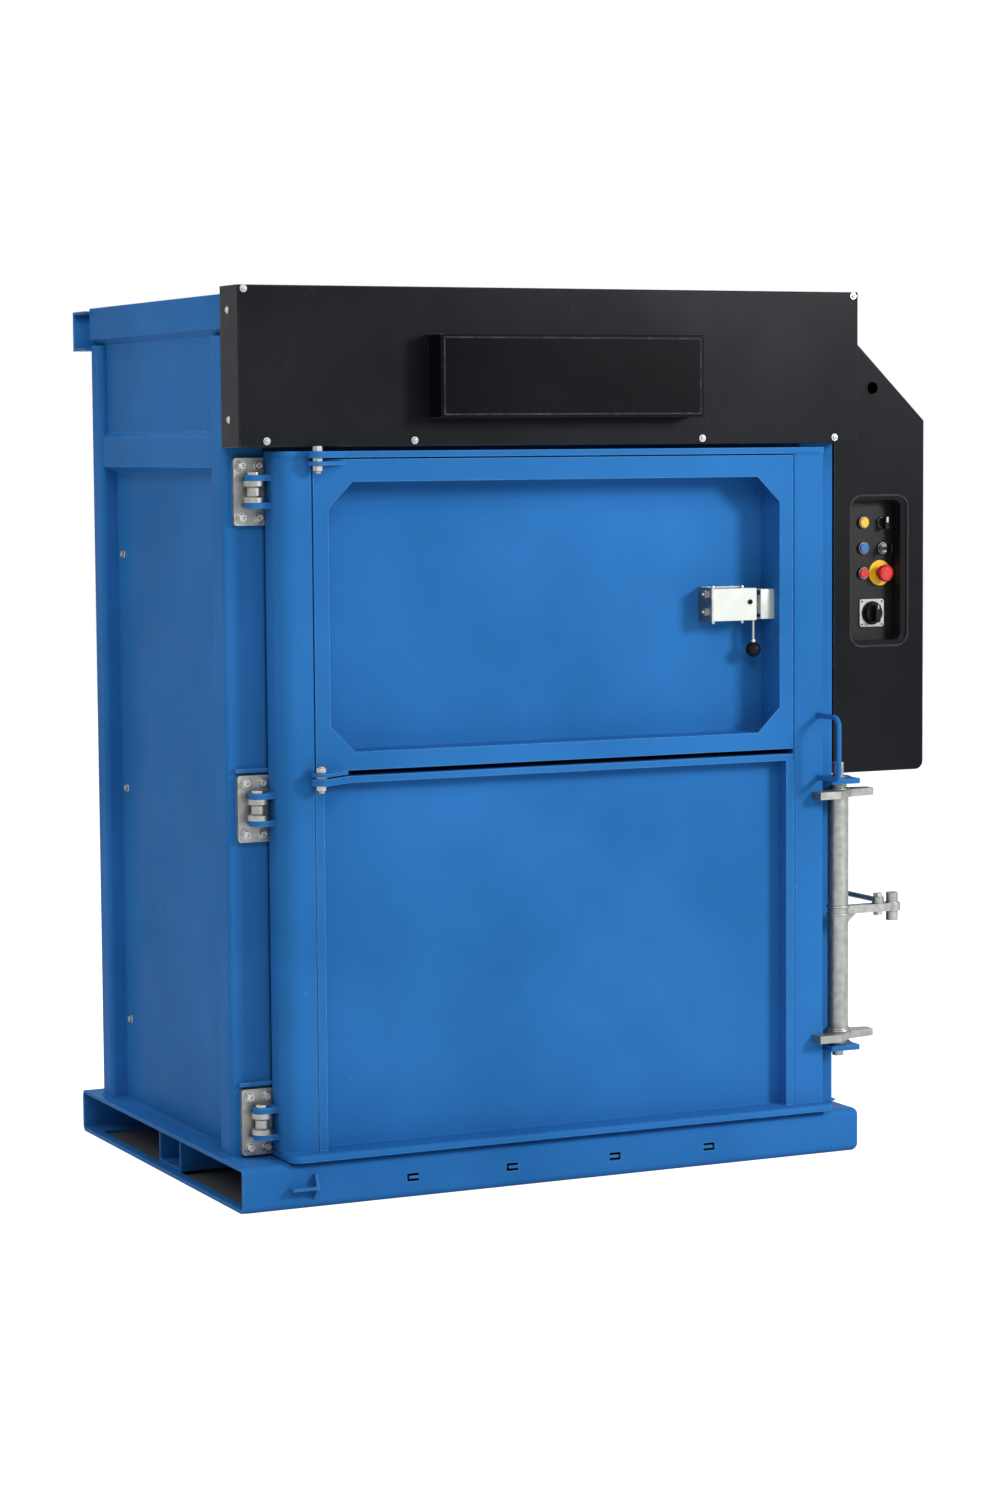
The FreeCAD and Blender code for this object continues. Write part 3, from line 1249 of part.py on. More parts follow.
def controls():
    bore = "button_radius + button_clearance"
    collars = [ring(f"{name}_collar", "collar_radius", bore, "collar_tall", BUTTON_COLUMN, height)
               for name, height in BUTTONS.items()]
    collars += [ring(f"{name}_collar", "collar_radius", bore, "collar_tall", SELECTOR_COLUMN, height)
                for name, height in (("selector", SELECTOR_ROW), ("keyed", KEY_ROW))]
    node("button_collars", joined("collars", *collars))
    node("estop_collar", ring("estop_ring", "estop_disc", "estop_neck + button_clearance",
                              "estop_disc_thick", ESTOP_COLUMN, RED_ROW))
    proud = "collar_tall + button_travel"
    for name, height in BUTTONS.items():
        cap = [(0, "-button_stem"), ("button_radius", "-button_stem"),
               ("button_radius", f"{proud} - button_edge"), ("button_radius - button_edge", proud),
               (0, proud)]
        node(name, turned(f"{name}_cap", "front", cap, (BUTTON_COLUMN, PLATE_FACE, height)))

    disc = [(0, 0), ("button_radius", 0), ("button_radius", "knob_disc_tall"), (0, "knob_disc_tall")]
    front = f"{PLATE_FACE} - knob_disc_tall"
    drum = turned("selector_drum", "front", disc, (SELECTOR_COLUMN, PLATE_FACE, SELECTOR_ROW))
    bar = rounded_block("selector_bar", "XZ",
                        (f"{SELECTOR_COLUMN} - knob_bar", f"{SELECTOR_COLUMN} + knob_bar"),
                        (f"{SELECTOR_ROW} - collar_radius", f"{SELECTOR_ROW} + collar_radius"),
                        (f"{front} - knob_bar_tall", front), "knob_bar * 0.6")
    node("selector_knob", joined("selector", drum, bar))

    drum = turned("key_drum", "front", disc, (SELECTOR_COLUMN, PLATE_FACE, KEY_ROW))
    blade = rounded_block("key_blade_plate", "YZ",
                          (f"{front} - key_long", front),
                          (f"{KEY_ROW} - key_half", f"{KEY_ROW} + key_half"),
                          (f"{SELECTOR_COLUMN} - key_blade", f"{SELECTOR_COLUMN} + key_blade"),
                          "key_half * 0.6")
    node("key_selector", joined("key", drum, blade))

    neck_back = "-estop_travel - cabinet_plate"
    face = "estop_proud - estop_head_tall"
    mushroom = [(0, neck_back), ("estop_neck", neck_back), ("estop_neck", face),
                ("estop_head * 0.92", face), ("estop_head", f"{face} + 3"),
                ("estop_head", "estop_proud - 7"), ("estop_head * 0.86", "estop_proud - 3"),
                ("estop_head * 0.55", "estop_proud"), (0, "estop_proud")]
    node("estop_head", turned("estop_cap", "front", mushroom, (ESTOP_COLUMN, PLATE_FACE, RED_ROW)))

    plate_front = f"({PLATE_FACE} - switch_plate_thick)"
    node("main_switch_plate",
         rounded_block("switch_plate_block", "XZ",
                       (f"{SWITCH_COLUMN} - switch_plate", f"{SWITCH_COLUMN} + switch_plate"),
                       (f"{SWITCH_ROW} - switch_plate", f"{SWITCH_ROW} + switch_plate"),
                       (plate_front, PLATE_FACE), "switch_bar"))
    drum = turned("switch_drum", "front",
                  [(0, 0), ("switch_knob", 0), ("switch_knob", "switch_land"),
                   ("switch_knob * 0.94", "switch_disc"), (0, "switch_disc")],
                  (SWITCH_COLUMN, plate_front, SWITCH_ROW))
    bar = rounded_block("switch_grip", "XZ",
                        (f"{SWITCH_COLUMN} - switch_bar", f"{SWITCH_COLUMN} + switch_bar"),
                        (f"{SWITCH_ROW} - switch_knob * 0.95", f"{SWITCH_ROW} + switch_knob * 0.95"),
                        (f"{plate_front} - switch_disc - switch_bar_tall", f"{plate_front} - switch_disc"),
                        "switch_bar * 0.7")
    node("main_switch_knob", joined("main_switch", drum, bar))


# ---------------------------------------------------------------- platen and cylinders


def cylinders():
    """Two telescopic cylinders: a fixed barrel, two sliding stages and a rod on the platen."""
    mouth = "platen_low + platen_plate + cylinder_end"
    top = "post_top + wall_plate - cylinder_flange_thick"
    fit = "gland_clearance"
    stages = [
        ("cylinder_barrels", "barrel_radius", "barrel_bore", "stage_one_radius", None, 0),
        ("cylinder_stage_one", "stage_one_radius", "stage_one_bore", "stage_two_radius",
         "barrel_bore", 1),
        ("cylinder_stage_two", "stage_two_radius", "stage_two_bore", "rod_radius",
         "stage_one_bore", 2),
    ]
    for name, outer, bore, passing, around, step in stages:
        low = f"{mouth} - {step} * stage_step"
        high = f"{top} - {step} * piston_gap"
        outline = [(f"{passing} + {fit}", low), (outer, low)]
        if around:
            outline += [(outer, f"{high} - gland_tall"), (f"{around} - {fit}", f"{high} - gland_tall"),
                        (f"{around} - {fit}", high)]
        else:
            outline += [(outer, high)]
        outline += [(bore, high), (bore, f"{low} + gland_tall"),
                    (f"{passing} + {fit}", f"{low} + gland_tall")]
        pair = [turned(f"{name}_{side}", "up", outline,
                       (f"{side_sign} * cylinder_across", "cross_centre", 0))
                for side, side_sign in SIDES.items()]
        if not around:
            pair += [block(f"cylinder_flange_{side}",
                           (f"{side_sign} * cylinder_across - cylinder_flange",
                            f"{side_sign} * cylinder_across + cylinder_flange"),
                           ("cross_centre - cylinder_flange", "cross_centre + cylinder_flange"),
                           (high, f"{high} + cylinder_flange_thick"))
                     for side, side_sign in SIDES.items()]
        node(name, joined(f"{name}_pair", *pair))
    rods = []
    high = f"{top} - 3 * piston_gap"
    for side, side_sign in SIDES.items():
        rods.append(turned(f"cylinder_rod_{side}", "up",
                           [(0, "platen_low + platen_plate"), ("rod_radius", "platen_low + platen_plate"),
                            ("rod_radius", f"{high} - gland_tall"),
                            (f"stage_two_bore - {fit}", f"{high} - gland_tall"),
                            (f"stage_two_bore - {fit}", high), (0, high)],
                           (f"{side_sign} * cylinder_across", "cross_centre", 0)))
    node("cylinder_rods", joined("rods", *rods))


def platen():
    deep = ("-platen_front", "platen_rear")
    across = ("-platen_half", "platen_half")
    top = "platen_low + platen_plate"
    outer = block("platen_outer", across, deep, ("platen_low", "platen_high"))
    inside = block("platen_inside", ("-platen_half + platen_skirt", "platen_half - platen_skirt"),
                   (f"{deep[0]} + platen_skirt", f"{deep[1]} - platen_skirt"),
                   (top, "platen_high + platen_skirt"))
    grooves = []
    middle = "(base_right - base_left) / 2"
    for side in SIDES.values():
        for offset in ("slot_near", "slot_far"):
            centre = f"{middle} + {side} * {offset}"
            grooves.append(block(f"groove_{len(grooves)}",
                                 (f"{centre} - platen_groove / 2", f"{centre} + platen_groove / 2"),
                                 (f"{deep[0]} - platen_skirt", f"{deep[1]} + platen_skirt"),
                                 ("platen_low - platen_groove_sink", "platen_low + platen_groove_sink")))
    pieces = [cut("platen_tray", outer, inside, *grooves)]
    for name, place in (("front", "-rib_front"), ("rear", "rib_rear")):
        pieces.append(block(f"platen_rib_{name}", ("-platen_half + platen_skirt",
                                                   "platen_half - platen_skirt"),
                            (f"{place} - platen_skirt / 2", f"{place} + platen_skirt / 2"),
                            (top, "platen_high")))
    for place in (-1, 0, 1):
        pieces.append(block(f"platen_cross_rib_{place + 1}",
                            (f"{place} * rib_side - platen_skirt / 2",
                             f"{place} * rib_side + platen_skirt / 2"),
                            (f"{deep[0]} + platen_skirt", f"{deep[1]} - platen_skirt"),
                            (top, "platen_high")))
    for name, side in SIDES.items():
        for row, start in (("front", deep[0]), ("rear", f"{deep[1]} - shoe_long")):
            pieces.append(block(f"shoe_{name}_{row}",
                                span(side, "platen_half", "post_inner - shoe_gap"),
                                (start, f"{start} + shoe_long"), ("platen_low", "platen_high")))
    node("platen", joined("platen_solid", *pieces))


# ---------------------------------------------------------------- build and export


def check_and_export():
    doc.recompute()
    for item in doc.Objects:
        if "Invalid" in item.State or "Error" in item.State:
            raise RuntimeError(f"{item.Name} failed: {item.State}")
    for item in NODES:
        if item.Shape.isNull() or not item.Shape.isValid() or not item.Shape.Solids:
            raise RuntimeError(f"{item.Label} has no valid solid")
    for item in NODES:
        item.Shape.exportStep(os.path.join("parts", f"{item.Label}.step"))
    print(f"{len(NODES)} sub-parts written")


fill_sheet()
base_tray()
base_fittings()
posts()
side_walls()
rear_wall()
head_and_crosshead()
hood()
screw_heads()
hinges()
door_frame()
door_fittings()
hatch()
latch()
lock_mounts()
lock_shaft()
lock_arm()
cabinet()
control_tub()
controls()
cylinders()
platen()
check_and_export()
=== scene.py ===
import json
import math

import bmesh
import bpy
from mathutils import Matrix, Vector, noise


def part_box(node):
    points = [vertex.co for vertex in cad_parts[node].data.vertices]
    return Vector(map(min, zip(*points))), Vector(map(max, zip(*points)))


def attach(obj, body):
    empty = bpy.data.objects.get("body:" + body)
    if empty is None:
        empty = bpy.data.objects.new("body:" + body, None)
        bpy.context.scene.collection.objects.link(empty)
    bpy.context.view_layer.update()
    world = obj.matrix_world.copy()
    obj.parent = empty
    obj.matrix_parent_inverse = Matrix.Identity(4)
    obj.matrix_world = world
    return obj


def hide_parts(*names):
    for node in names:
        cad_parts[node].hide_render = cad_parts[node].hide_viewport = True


# Looks of the recycling baler: painted, plated and moulded finishes for its solids, and the small
# pieces that they leave out: screw heads, nuts, weld beads, the key and the marks of the switch.
# Camera, light and finishes are in metres. The pieces are drawn in millimetres. Both use the
# solids' own frame: X across, Y to the rear, Z up.

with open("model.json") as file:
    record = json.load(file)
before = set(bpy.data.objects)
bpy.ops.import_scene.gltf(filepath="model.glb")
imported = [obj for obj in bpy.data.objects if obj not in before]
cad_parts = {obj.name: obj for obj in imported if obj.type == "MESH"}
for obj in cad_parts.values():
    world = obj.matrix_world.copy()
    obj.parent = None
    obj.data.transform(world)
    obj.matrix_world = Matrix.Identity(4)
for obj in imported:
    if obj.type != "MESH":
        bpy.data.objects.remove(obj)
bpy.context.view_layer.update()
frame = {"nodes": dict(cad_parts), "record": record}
nodes = frame["nodes"]

MM = 0.001
FRONT, BACK, UP, DOWN = (0, -1, 0), (0, 1, 0), (0, 0, 1), (0, 0, -1)
# Left and right, by the sign of X
SIDES = {-1: (-1, 0, 0), 1: (1, 0, 0)}

# ---------------------------------------------------------------- shader nodes

BEVEL_SAMPLES = 4


def new_material(name):
    material = bpy.data.materials.new(name)
    material.use_nodes = True
    return material, material.node_tree, material.node_tree.nodes["Principled BSDF"]


def maths(tree, operation, first, second):
    """A sum on a node's output and a second value, which is a number or another node's output."""
    node = tree.nodes.new("ShaderNodeMath")
    node.operation = operation
    tree.links.new(first, node.inputs[0])
    if isinstance(second, float):
        node.inputs[1].default_value = second
    else:
        tree.links.new(second, node.inputs[1])
    return node.outputs[0]


def looked_at(tree):
    """1 for rays that show a surface to the camera, directly, in gloss or through glass."""
    paths = tree.nodes.new("ShaderNodeLightPath")
    total = paths.outputs["Is Camera Ray"]
    for ray in ("Is Glossy Ray", "Is Transmission Ray"):
        total = maths(tree, "MAXIMUM", total, paths.outputs[ray])
    return total


def object_noise(tree, scale, detail, stretch=(1, 1, 1)):
    place = tree.nodes.new("ShaderNodeTexCoord")
    mapping = tree.nodes.new("ShaderNodeMapping")
    mapping.inputs["Scale"].default_value = stretch
    texture = tree.nodes.new("ShaderNodeTexNoise")
    texture.inputs["Scale"].default_value = scale
    texture.inputs["Detail"].default_value = detail
    tree.links.new(place.outputs["Object"], mapping.inputs["Vector"])
    tree.links.new(mapping.outputs["Vector"], texture.inputs["Vector"])
    return texture.outputs["Fac"]


def ramp(tree, source, *stops):
    """Runs from one grey to another. Each of the two stops is a place and the grey there."""
    node = tree.nodes.new("ShaderNodeValToRGB")
    for element, (place, grey) in zip(node.color_ramp.elements, stops):
        element.position = place
        element.color = (grey, grey, grey, 1)
    tree.links.new(source, node.inputs["Fac"])
    return node.outputs["Color"]


def mix_colour(tree, factor, first, second):
    """Blends two colours, each a tuple or a node's output."""
    node = tree.nodes.new("ShaderNodeMix")
    node.data_type = "RGBA"
    tree.links.new(factor, node.inputs["Factor"])
    colours = [socket for socket in node.inputs if socket.type == "RGBA"]
    for socket, value in zip(colours, (first, second)):
        if isinstance(value, tuple):
            socket.default_value = (*value, 1)
        else:
            tree.links.new(value, socket)
    return next(socket for socket in node.outputs if socket.type == "RGBA")


def rounded_normal(tree, radius):
    soft = tree.nodes.new("ShaderNodeBevel")
    soft.samples = BEVEL_SAMPLES
    soft.inputs["Radius"].default_value = radius
    return soft.outputs["Normal"]


def flatness(tree, width):
    """1 on open faces, and less within a width of an edge, where rounding turns the normal."""
    plain = tree.nodes.new("ShaderNodeNewGeometry")
    dot = tree.nodes.new("ShaderNodeVectorMath")
    dot.operation = "DOT_PRODUCT"
    tree.links.new(rounded_normal(tree, width), dot.inputs[0])
    tree.links.new(plain.outputs["Normal"], dot.inputs[1])
    return dot.outputs["Value"]


def bumped(tree, shader, source, strength, distance, rounding):
    """A fine relief, on edges that are rounded in the shading alone."""
    bump = tree.nodes.new("ShaderNodeBump")
    bump.inputs["Strength"].default_value = strength
    bump.inputs["Distance"].default_value = distance
    tree.links.new(source, bump.inputs["Height"])
    tree.links.new(rounded_normal(tree, rounding), bump.inputs["Normal"])
    tree.links.new(bump.outputs["Normal"], shader.inputs["Normal"])


# ---------------------------------------------------------------- camera and light

IMAGE_HEIGHT = 1500
FOCAL_PIXELS = 3548
SENSOR_HEIGHT = 36
CAMERA_PLACE = Vector((-3.4705, -7.5583, 1.6509))
CAMERA_AHEAD = Vector((0.4245, 0.9012, -0.0866))
CAMERA_RIGHT = Vector((0.9044, -0.4267, -0.0073))

# Each lamp's name, place, target, width and height, and power
LAMPS = (
    ("left key", (-1.9, -5.4, 4.6), (0, 0, 0.9), (2.6, 2.2), 105),
    ("right key", (3.1, -4.6, 2.9), (0.2, 0, 1.2), (1.2, 1.2), 195),
    ("side", (-4.4, 0.2, 4.4), (-0.6, 0, 1.2), (2.6, 2.0), 55),
    ("top", (0, 0.8, 4.8), (0, 0, 1.0), (3.2, 2.8), 60),
)
WHITE = (1, 1, 1, 1)
WORLD_TINT = (0.94, 0.96, 1.0, 1)
WORLD_LIGHT = 0.40

FLOOR_HALF = 14
FLOOR_INSET = 0.012
FLOOR_GREY = 0.80
FLOOR_GLOW = 0.78
# The grey of the floor under the tray is painted shade
UNDER_TRAY_SHADE = 0.10


def add_camera():
    data = bpy.data.cameras.new("camera")
    data.sensor_fit = "VERTICAL"
    data.sensor_height = SENSOR_HEIGHT
    data.lens = FOCAL_PIXELS / IMAGE_HEIGHT * SENSOR_HEIGHT
    camera = bpy.data.objects.new("camera", data)
    ahead = CAMERA_AHEAD.normalized()
    right = (CAMERA_RIGHT - ahead * CAMERA_RIGHT.dot(ahead)).normalized()
    turn = Matrix((right, right.cross(ahead), -ahead)).transposed()
    camera.matrix_world = Matrix.Translation(CAMERA_PLACE) @ turn.to_4x4()
    bpy.context.collection.objects.link(camera)
    bpy.context.scene.camera = camera


def add_lamp(name, place, target, sides, power):
    data = bpy.data.lights.new(name, "AREA")
    data.shape = "RECTANGLE"
    data.size, data.size_y = sides
    data.energy = power
    lamp = bpy.data.objects.new(name, data)
    lamp.location = place
    lamp.rotation_euler = (Vector(target) - Vector(place)).to_track_quat("-Z", "Y").to_euler()
    bpy.context.collection.objects.link(lamp)


def background(tree, colour, strength):
    node = tree.nodes.new("ShaderNodeBackground")
    node.inputs["Color"].default_value = colour
    node.inputs["Strength"].default_value = strength
    return node.outputs["Background"]


def add_world():
    """White where it is looked at, and a softer light on the object."""
    world = bpy.data.worlds.new("studio")
    bpy.context.scene.world = world
    world.use_nodes = True
    tree = world.node_tree
    tree.nodes.clear()
    mix = tree.nodes.new("ShaderNodeMixShader")
    output = tree.nodes.new("ShaderNodeOutputWorld")
    tree.links.new(looked_at(tree), mix.inputs["Fac"])
    tree.links.new(background(tree, WORLD_TINT, WORLD_LIGHT), mix.inputs[1])
    tree.links.new(background(tree, WHITE, 1), mix.inputs[2])
    tree.links.new(mix.outputs[0], output.inputs["Surface"])


def paper(name, grey, glows):
    """A matt sheet for the floor. One that glows shows as white to the camera."""
    material, tree, shader = new_material(name)
    shader.inputs["Base Color"].default_value = (grey, grey, grey, 1)
    shader.inputs["Roughness"].default_value = 0.9
    shader.inputs["Specular IOR Level"].default_value = 0.1
    if glows:
        shader.inputs["Emission Color"].default_value = WHITE
        glow = maths(tree, "MULTIPLY", looked_at(tree), FLOOR_GLOW)
        tree.links.new(glow, shader.inputs["Emission Strength"])
    return material


def add_floor():
    """A pale floor in nine fields. The middle one, in under the base tray, is dark: painted shade.
    """
    (left, front, _), (right, rear, _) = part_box("base_tray")
    columns = (-FLOOR_HALF, left + FLOOR_INSET, right - FLOOR_INSET, FLOOR_HALF)
    rows = (-FLOOR_HALF, front + FLOOR_INSET, rear - FLOOR_INSET, FLOOR_HALF)
    corners = [(x, y, 0) for y in rows for x in columns]
    stride = len(columns)
    starts = [row * stride + column for row in range(len(rows) - 1) for column in range(stride - 1)]
    fields = [(near, near + 1, near + stride + 1, near + stride) for near in starts]
    mesh = bpy.data.meshes.new("floor")
    mesh.from_pydata(corners, [], fields)
    mesh.materials.append(paper("floor_paper", FLOOR_GREY, True))
    mesh.materials.append(paper("floor_painted_shade", UNDER_TRAY_SHADE, False))
    mesh.polygons[len(fields) // 2].material_index = 1
    floor = bpy.data.objects.new("floor", mesh)
    bpy.context.collection.objects.link(floor)


# ---------------------------------------------------------------- finishes
# Noise scales are waves per metre. A ramp's stops are pairs of a noise or flatness and a grey.

# Widths of the painted highlight on paint's edges and of plating's bright edges, and radii that the
# shading gives to sharp edges
PAINT_HIGHLIGHT, PLATING_WEAR = 0.004, 0.0015
PAINT_ROUNDING, HARD_ROUNDING = 0.0022, 0.0008
# Depths of the reliefs
PEEL_DEPTH, PLATING_DEPTH, MOULD_DEPTH = 0.0006, 0.0004, 0.0002
MOULD_GRAIN = 900


def shade(colour, factor, lift=0.0):
    return tuple(min(1, value * factor + lift) for value in colour)


def surface(tree, shader, colour, tone, gloss):
    """Sets a tone and a roughness. The plain colour serves where no texture is read."""
    tree.links.new(tone, shader.inputs["Base Color"])
    shader.inputs["Base Color"].default_value = (*colour, 1)
    tree.links.new(gloss, shader.inputs["Roughness"])


def painted(name, colour, roughness, peel=0.08, edge=None, specular=0.14):
    """Sprayed enamel: faint orange peel, cloudy tone, scuffs, and a painted highlight along the
    edges, broken in patches.
    """
    material, tree, shader = new_material(name)
    cloud = ramp(tree, object_noise(tree, 2.2, 5), (0.35, 0.0), (0.7, 1.0))
    tone = mix_colour(tree, cloud, shade(colour, 0.86), shade(colour, 1.08, 0.004))
    specks = ramp(tree, object_noise(tree, 55, 3), (0.70, 0.0), (0.78, 1.0))
    patches = ramp(tree, object_noise(tree, 3.1, 2), (0.5, 0.0), (0.66, 0.5))
    scuffs = maths(tree, "MULTIPLY", specks, patches)
    tone = mix_colour(tree, scuffs, tone, shade(colour, 1.4, 0.03))
    # The edge colour is a painted highlight, broken in patches by noise
    if edge:
        edges = ramp(tree, flatness(tree, PAINT_HIGHLIGHT), (0.80, 1.0), (0.97, 0.0))
        highlight_patches = ramp(tree, object_noise(tree, 60, 4), (0.32, 0.35), (0.66, 1.0))
        tone = mix_colour(tree, maths(tree, "MULTIPLY", edges, highlight_patches), tone, edge)
    gloss = ramp(tree, object_noise(tree, 7, 5), (0.3, roughness - 0.05), (0.75, roughness + 0.09))
    surface(tree, shader, colour, tone, gloss)
    shader.inputs["Specular IOR Level"].default_value = specular
    bumped(tree, shader, object_noise(tree, 420, 2), peel, PEEL_DEPTH, PAINT_ROUNDING)
    return material


def plated(name, colour, roughness, mottle=0.25, grain=60, metallic=1.0, stretch=(1, 1, 1)):
    """Zinc-plated or machined steel: mottled tone, uneven gloss and bright edges."""
    material, tree, shader = new_material(name)
    cloud = ramp(tree, object_noise(tree, grain, 6, stretch), (0.35, 0.0), (0.65, 1.0))
    tone = mix_colour(tree, cloud, shade(colour, 1 - mottle), colour)
    edges = ramp(tree, flatness(tree, PLATING_WEAR), (0.85, 1.0), (0.98, 0.0))
    tone = mix_colour(tree, edges, tone, shade(colour, 1.15))
    gloss = ramp(tree, object_noise(tree, grain * 2, 4, stretch),
                 (0.3, roughness - 0.08), (0.7, roughness + 0.12))
    surface(tree, shader, colour, tone, gloss)
    shader.inputs["Metallic"].default_value = metallic
    relief = object_noise(tree, grain * 8, 3, stretch)
    bumped(tree, shader, relief, 0.12, PLATING_DEPTH, HARD_ROUNDING)
    return material


def moulded(name, colour, roughness, coat=0.0, specular=0.4):
    """Moulded plastic: fine grain and a slightly uneven gloss."""
    material, tree, shader = new_material(name)
    cloud = ramp(tree, object_noise(tree, 40, 4), (0.3, 0.0), (0.7, 1.0))
    tone = mix_colour(tree, cloud, shade(colour, 0.88), colour)
    gloss = ramp(tree, object_noise(tree, 120, 3), (0.3, roughness - 0.05), (0.7, roughness + 0.08))
    surface(tree, shader, colour, tone, gloss)
    shader.inputs["Coat Weight"].default_value = coat
    shader.inputs["Specular IOR Level"].default_value = specular
    bumped(tree, shader, object_noise(tree, MOULD_GRAIN, 2), 0.15, MOULD_DEPTH, HARD_ROUNDING)
    return material


BLUE = (0.023, 0.151, 0.420)
# Each edge colour below is a painted highlight along the edges
MATERIALS = {
    "blue_paint": painted("blue_enamel", BLUE, 0.30, edge=(0.13, 0.34, 0.62), specular=0.007),
    "black_paint": painted("black_powder_coat", (0.0062, 0.0070, 0.0098), 0.34, peel=0.15,
                           edge=(0.13, 0.135, 0.15), specular=0.055),
    "tank_paint": painted("tank_enamel", (0.06, 0.06, 0.065), 0.5),
    "galvanised": plated("galvanised_steel", (0.34, 0.345, 0.33), 0.46),
    "fastener_steel": plated("bright_zinc", (0.42, 0.42, 0.41), 0.33, mottle=0.12, grain=200),
    "cream_plated": plated("passivated_zinc", (0.56, 0.58, 0.54), 0.50, mottle=0.08, grain=40,
                           metallic=0.3),
    "bare_steel": plated("machined_steel", (0.50, 0.50, 0.51), 0.30, mottle=0.1, grain=120,
                         stretch=(1, 8, 8)),
    "cylinder_chrome": plated("ground_chrome", (0.80, 0.80, 0.82), 0.16, mottle=0.04, grain=80,
                              stretch=(1, 1, 0.1)),
    "black_plastic": moulded("black_plastic", (0.007, 0.007, 0.008), 0.42, specular=0.10),
    "grey_plastic": moulded("grey_plastic", (0.52, 0.53, 0.53), 0.40),
    "yellow_plastic": moulded("yellow_plastic", (0.90, 0.50, 0.015), 0.30, coat=0.3),
    "blue_plastic": moulded("blue_plastic", (0.015, 0.13, 0.42), 0.30, coat=0.3),
    "red_plastic": moulded("red_plastic", (0.60, 0.012, 0.012), 0.28, coat=0.4),
}
BEAD_ENAMEL = painted("bead_enamel", BLUE, 0.30, specular=0.007)
SATIN_BEZEL = plated("satin_bezel", (0.20, 0.20, 0.205), 0.30, mottle=0.1, grain=90)
# Nodes and pieces whose finish differs from that of their slot
OWN_FINISHES = {
    # The name box's edge colour is a painted highlight
    "hood_name_box": painted("black_smooth_coat", (0.0028, 0.0033, 0.0046), 0.30, peel=0.05,
                             edge=(0.17, 0.18, 0.20), specular=0.030),
    "control_tub": moulded("tub_plastic", (0.008, 0.008, 0.009), 0.44, specular=0.20),
    "button_collars": SATIN_BEZEL,
    "key_switch": SATIN_BEZEL,
    "frame_weld_beads": BEAD_ENAMEL,
    "door_weld_beads": BEAD_ENAMEL,
    "hatch_weld_beads": BEAD_ENAMEL,
    "platen_weld_beads": BEAD_ENAMEL,
}
NODE_SLOTS = {entry["node"]: entry["material_slot"] for entry in frame["record"]["subparts"]}


def finish_of(name, slot):
    return OWN_FINISHES.get(name) or MATERIALS[slot]


def dress_nodes():
    for name, thing in nodes.items():
        thing.data.materials.clear()
        thing.data.materials.append(finish_of(name, NODE_SLOTS[name]))


# ---------------------------------------------------------------- rings and turned forms

RING = 24
LATHE_RING = 32
HEXAGON_SIDE = math.tau / 6
NUT_CHAMFER = 0.5
NUT_DISH = 0.6
WASHER_BREAK = 0.4
KNURL_DEPTH = 0.035
# A button head's outline, as shares of its radius and of its height
DOME = ((1, 0), (1, 0.15), (0.94, 0.5), (0.78, 0.82), (0.55, 1))


def toward(direction, place):
    """Takes local +Z to a direction and the local origin to a place in millimetres."""
    turn = Vector(direction).to_track_quat("Z", "Y").to_matrix().to_4x4()
    return Matrix.Scale(MM, 4) @ Matrix.Translation(place) @ turn


def circle(radius, height, count=RING):
    angles = [math.tau * step / count for step in range(count)]
    return [(radius * math.cos(angle), radius * math.sin(angle), height) for angle in angles]


def hexagon(across, height, chamfer=0.0):
    """A ring on a hexagon, its corners drawn back towards the nut's middle by a chamfer."""
    ring = []
    for step in range(RING):
        angle = math.tau * step / RING
        reach = across / 2 / math.cos(angle % HEXAGON_SIDE - HEXAGON_SIDE / 2)
        drop = chamfer * (reach - across / 2)
        ring.append((reach * math.cos(angle), reach * math.sin(angle), height - drop))
    return ring


def join_rows(mesh, rows, capped, looped):
    """Faces between rings of vertices, with flat ends where asked, or looped to the first ring."""
    pairs = list(zip(rows, rows[1:]))
    if looped:
        pairs.append((rows[-1], rows[0]))
        capped = (False, False)
    count = len(rows[0])
    for first, second in pairs:
        for step in range(count):
            following = (step + 1) % count
            mesh.faces.new((first[step], first[following], second[following], second[step]))
    if capped[0]:
        mesh.faces.new(list(reversed(rows[0])))
    if capped[1]:
        mesh.faces.new(rows[-1])


def skin(mesh, rings, matrix, capped=(True, True), looped=False):
    rows = [[mesh.verts.new(matrix @ Vector(point)) for point in ring] for ring in rings]
    join_rows(mesh, rows, capped, looped)


def lathe(mesh, outline, matrix, count=LATHE_RING, looped=False):
    """Turns an outline of radii and heights round local Z. A looped one leaves its bore open."""
    skin(mesh, [circle(radius, height, count) for radius, height in outline], matrix, looped=looped)


def hex_head(mesh, matrix, across, tall, bore=None):
    """A chamfered hexagon, with a shallow dish or a bore's mouth at its middle."""
    rim, dish = across * 0.47, bore or across * 0.3
    rings = [circle(rim, 0), hexagon(across, 0.0, -NUT_CHAMFER), hexagon(across, tall, NUT_CHAMFER),
             circle(rim, tall), circle(dish, tall), circle(dish, tall - NUT_DISH)]
    skin(mesh, rings, matrix)


def washer(mesh, matrix, radius, thick, bore):
    inner = radius - WASHER_BREAK
    lathe(mesh, [(bore, 0), (inner, 0), (radius, WASHER_BREAK), (radius, thick - WASHER_BREAK),
                 (inner, thick), (bore, thick)], matrix, looped=True)


def knurled(radius, height):
    """A circle whose every second point lies a little further in."""
    shares = (1, 1 - KNURL_DEPTH)
    return [(x * shares[step % 2], y * shares[step % 2], z)
            for step, (x, y, z) in enumerate(circle(radius, height, RING * 2))]


def socket_head(mesh, matrix, radius, tall, socket):
    """A cap screw's head: knurled rim, chamfer and hexagon socket."""
    chamfer, crown, mouth = 1.4, radius - 1.2, socket * 0.62
    skin(mesh, [knurled(radius, 0), knurled(radius, tall - chamfer), circle(crown, tall, RING * 2),
                circle(mouth, tall, RING * 2)], matrix, (True, False))
    skin(mesh, [circle(mouth, tall), hexagon(socket, tall), hexagon(socket, tall * 0.45)],
         matrix, (False, True))


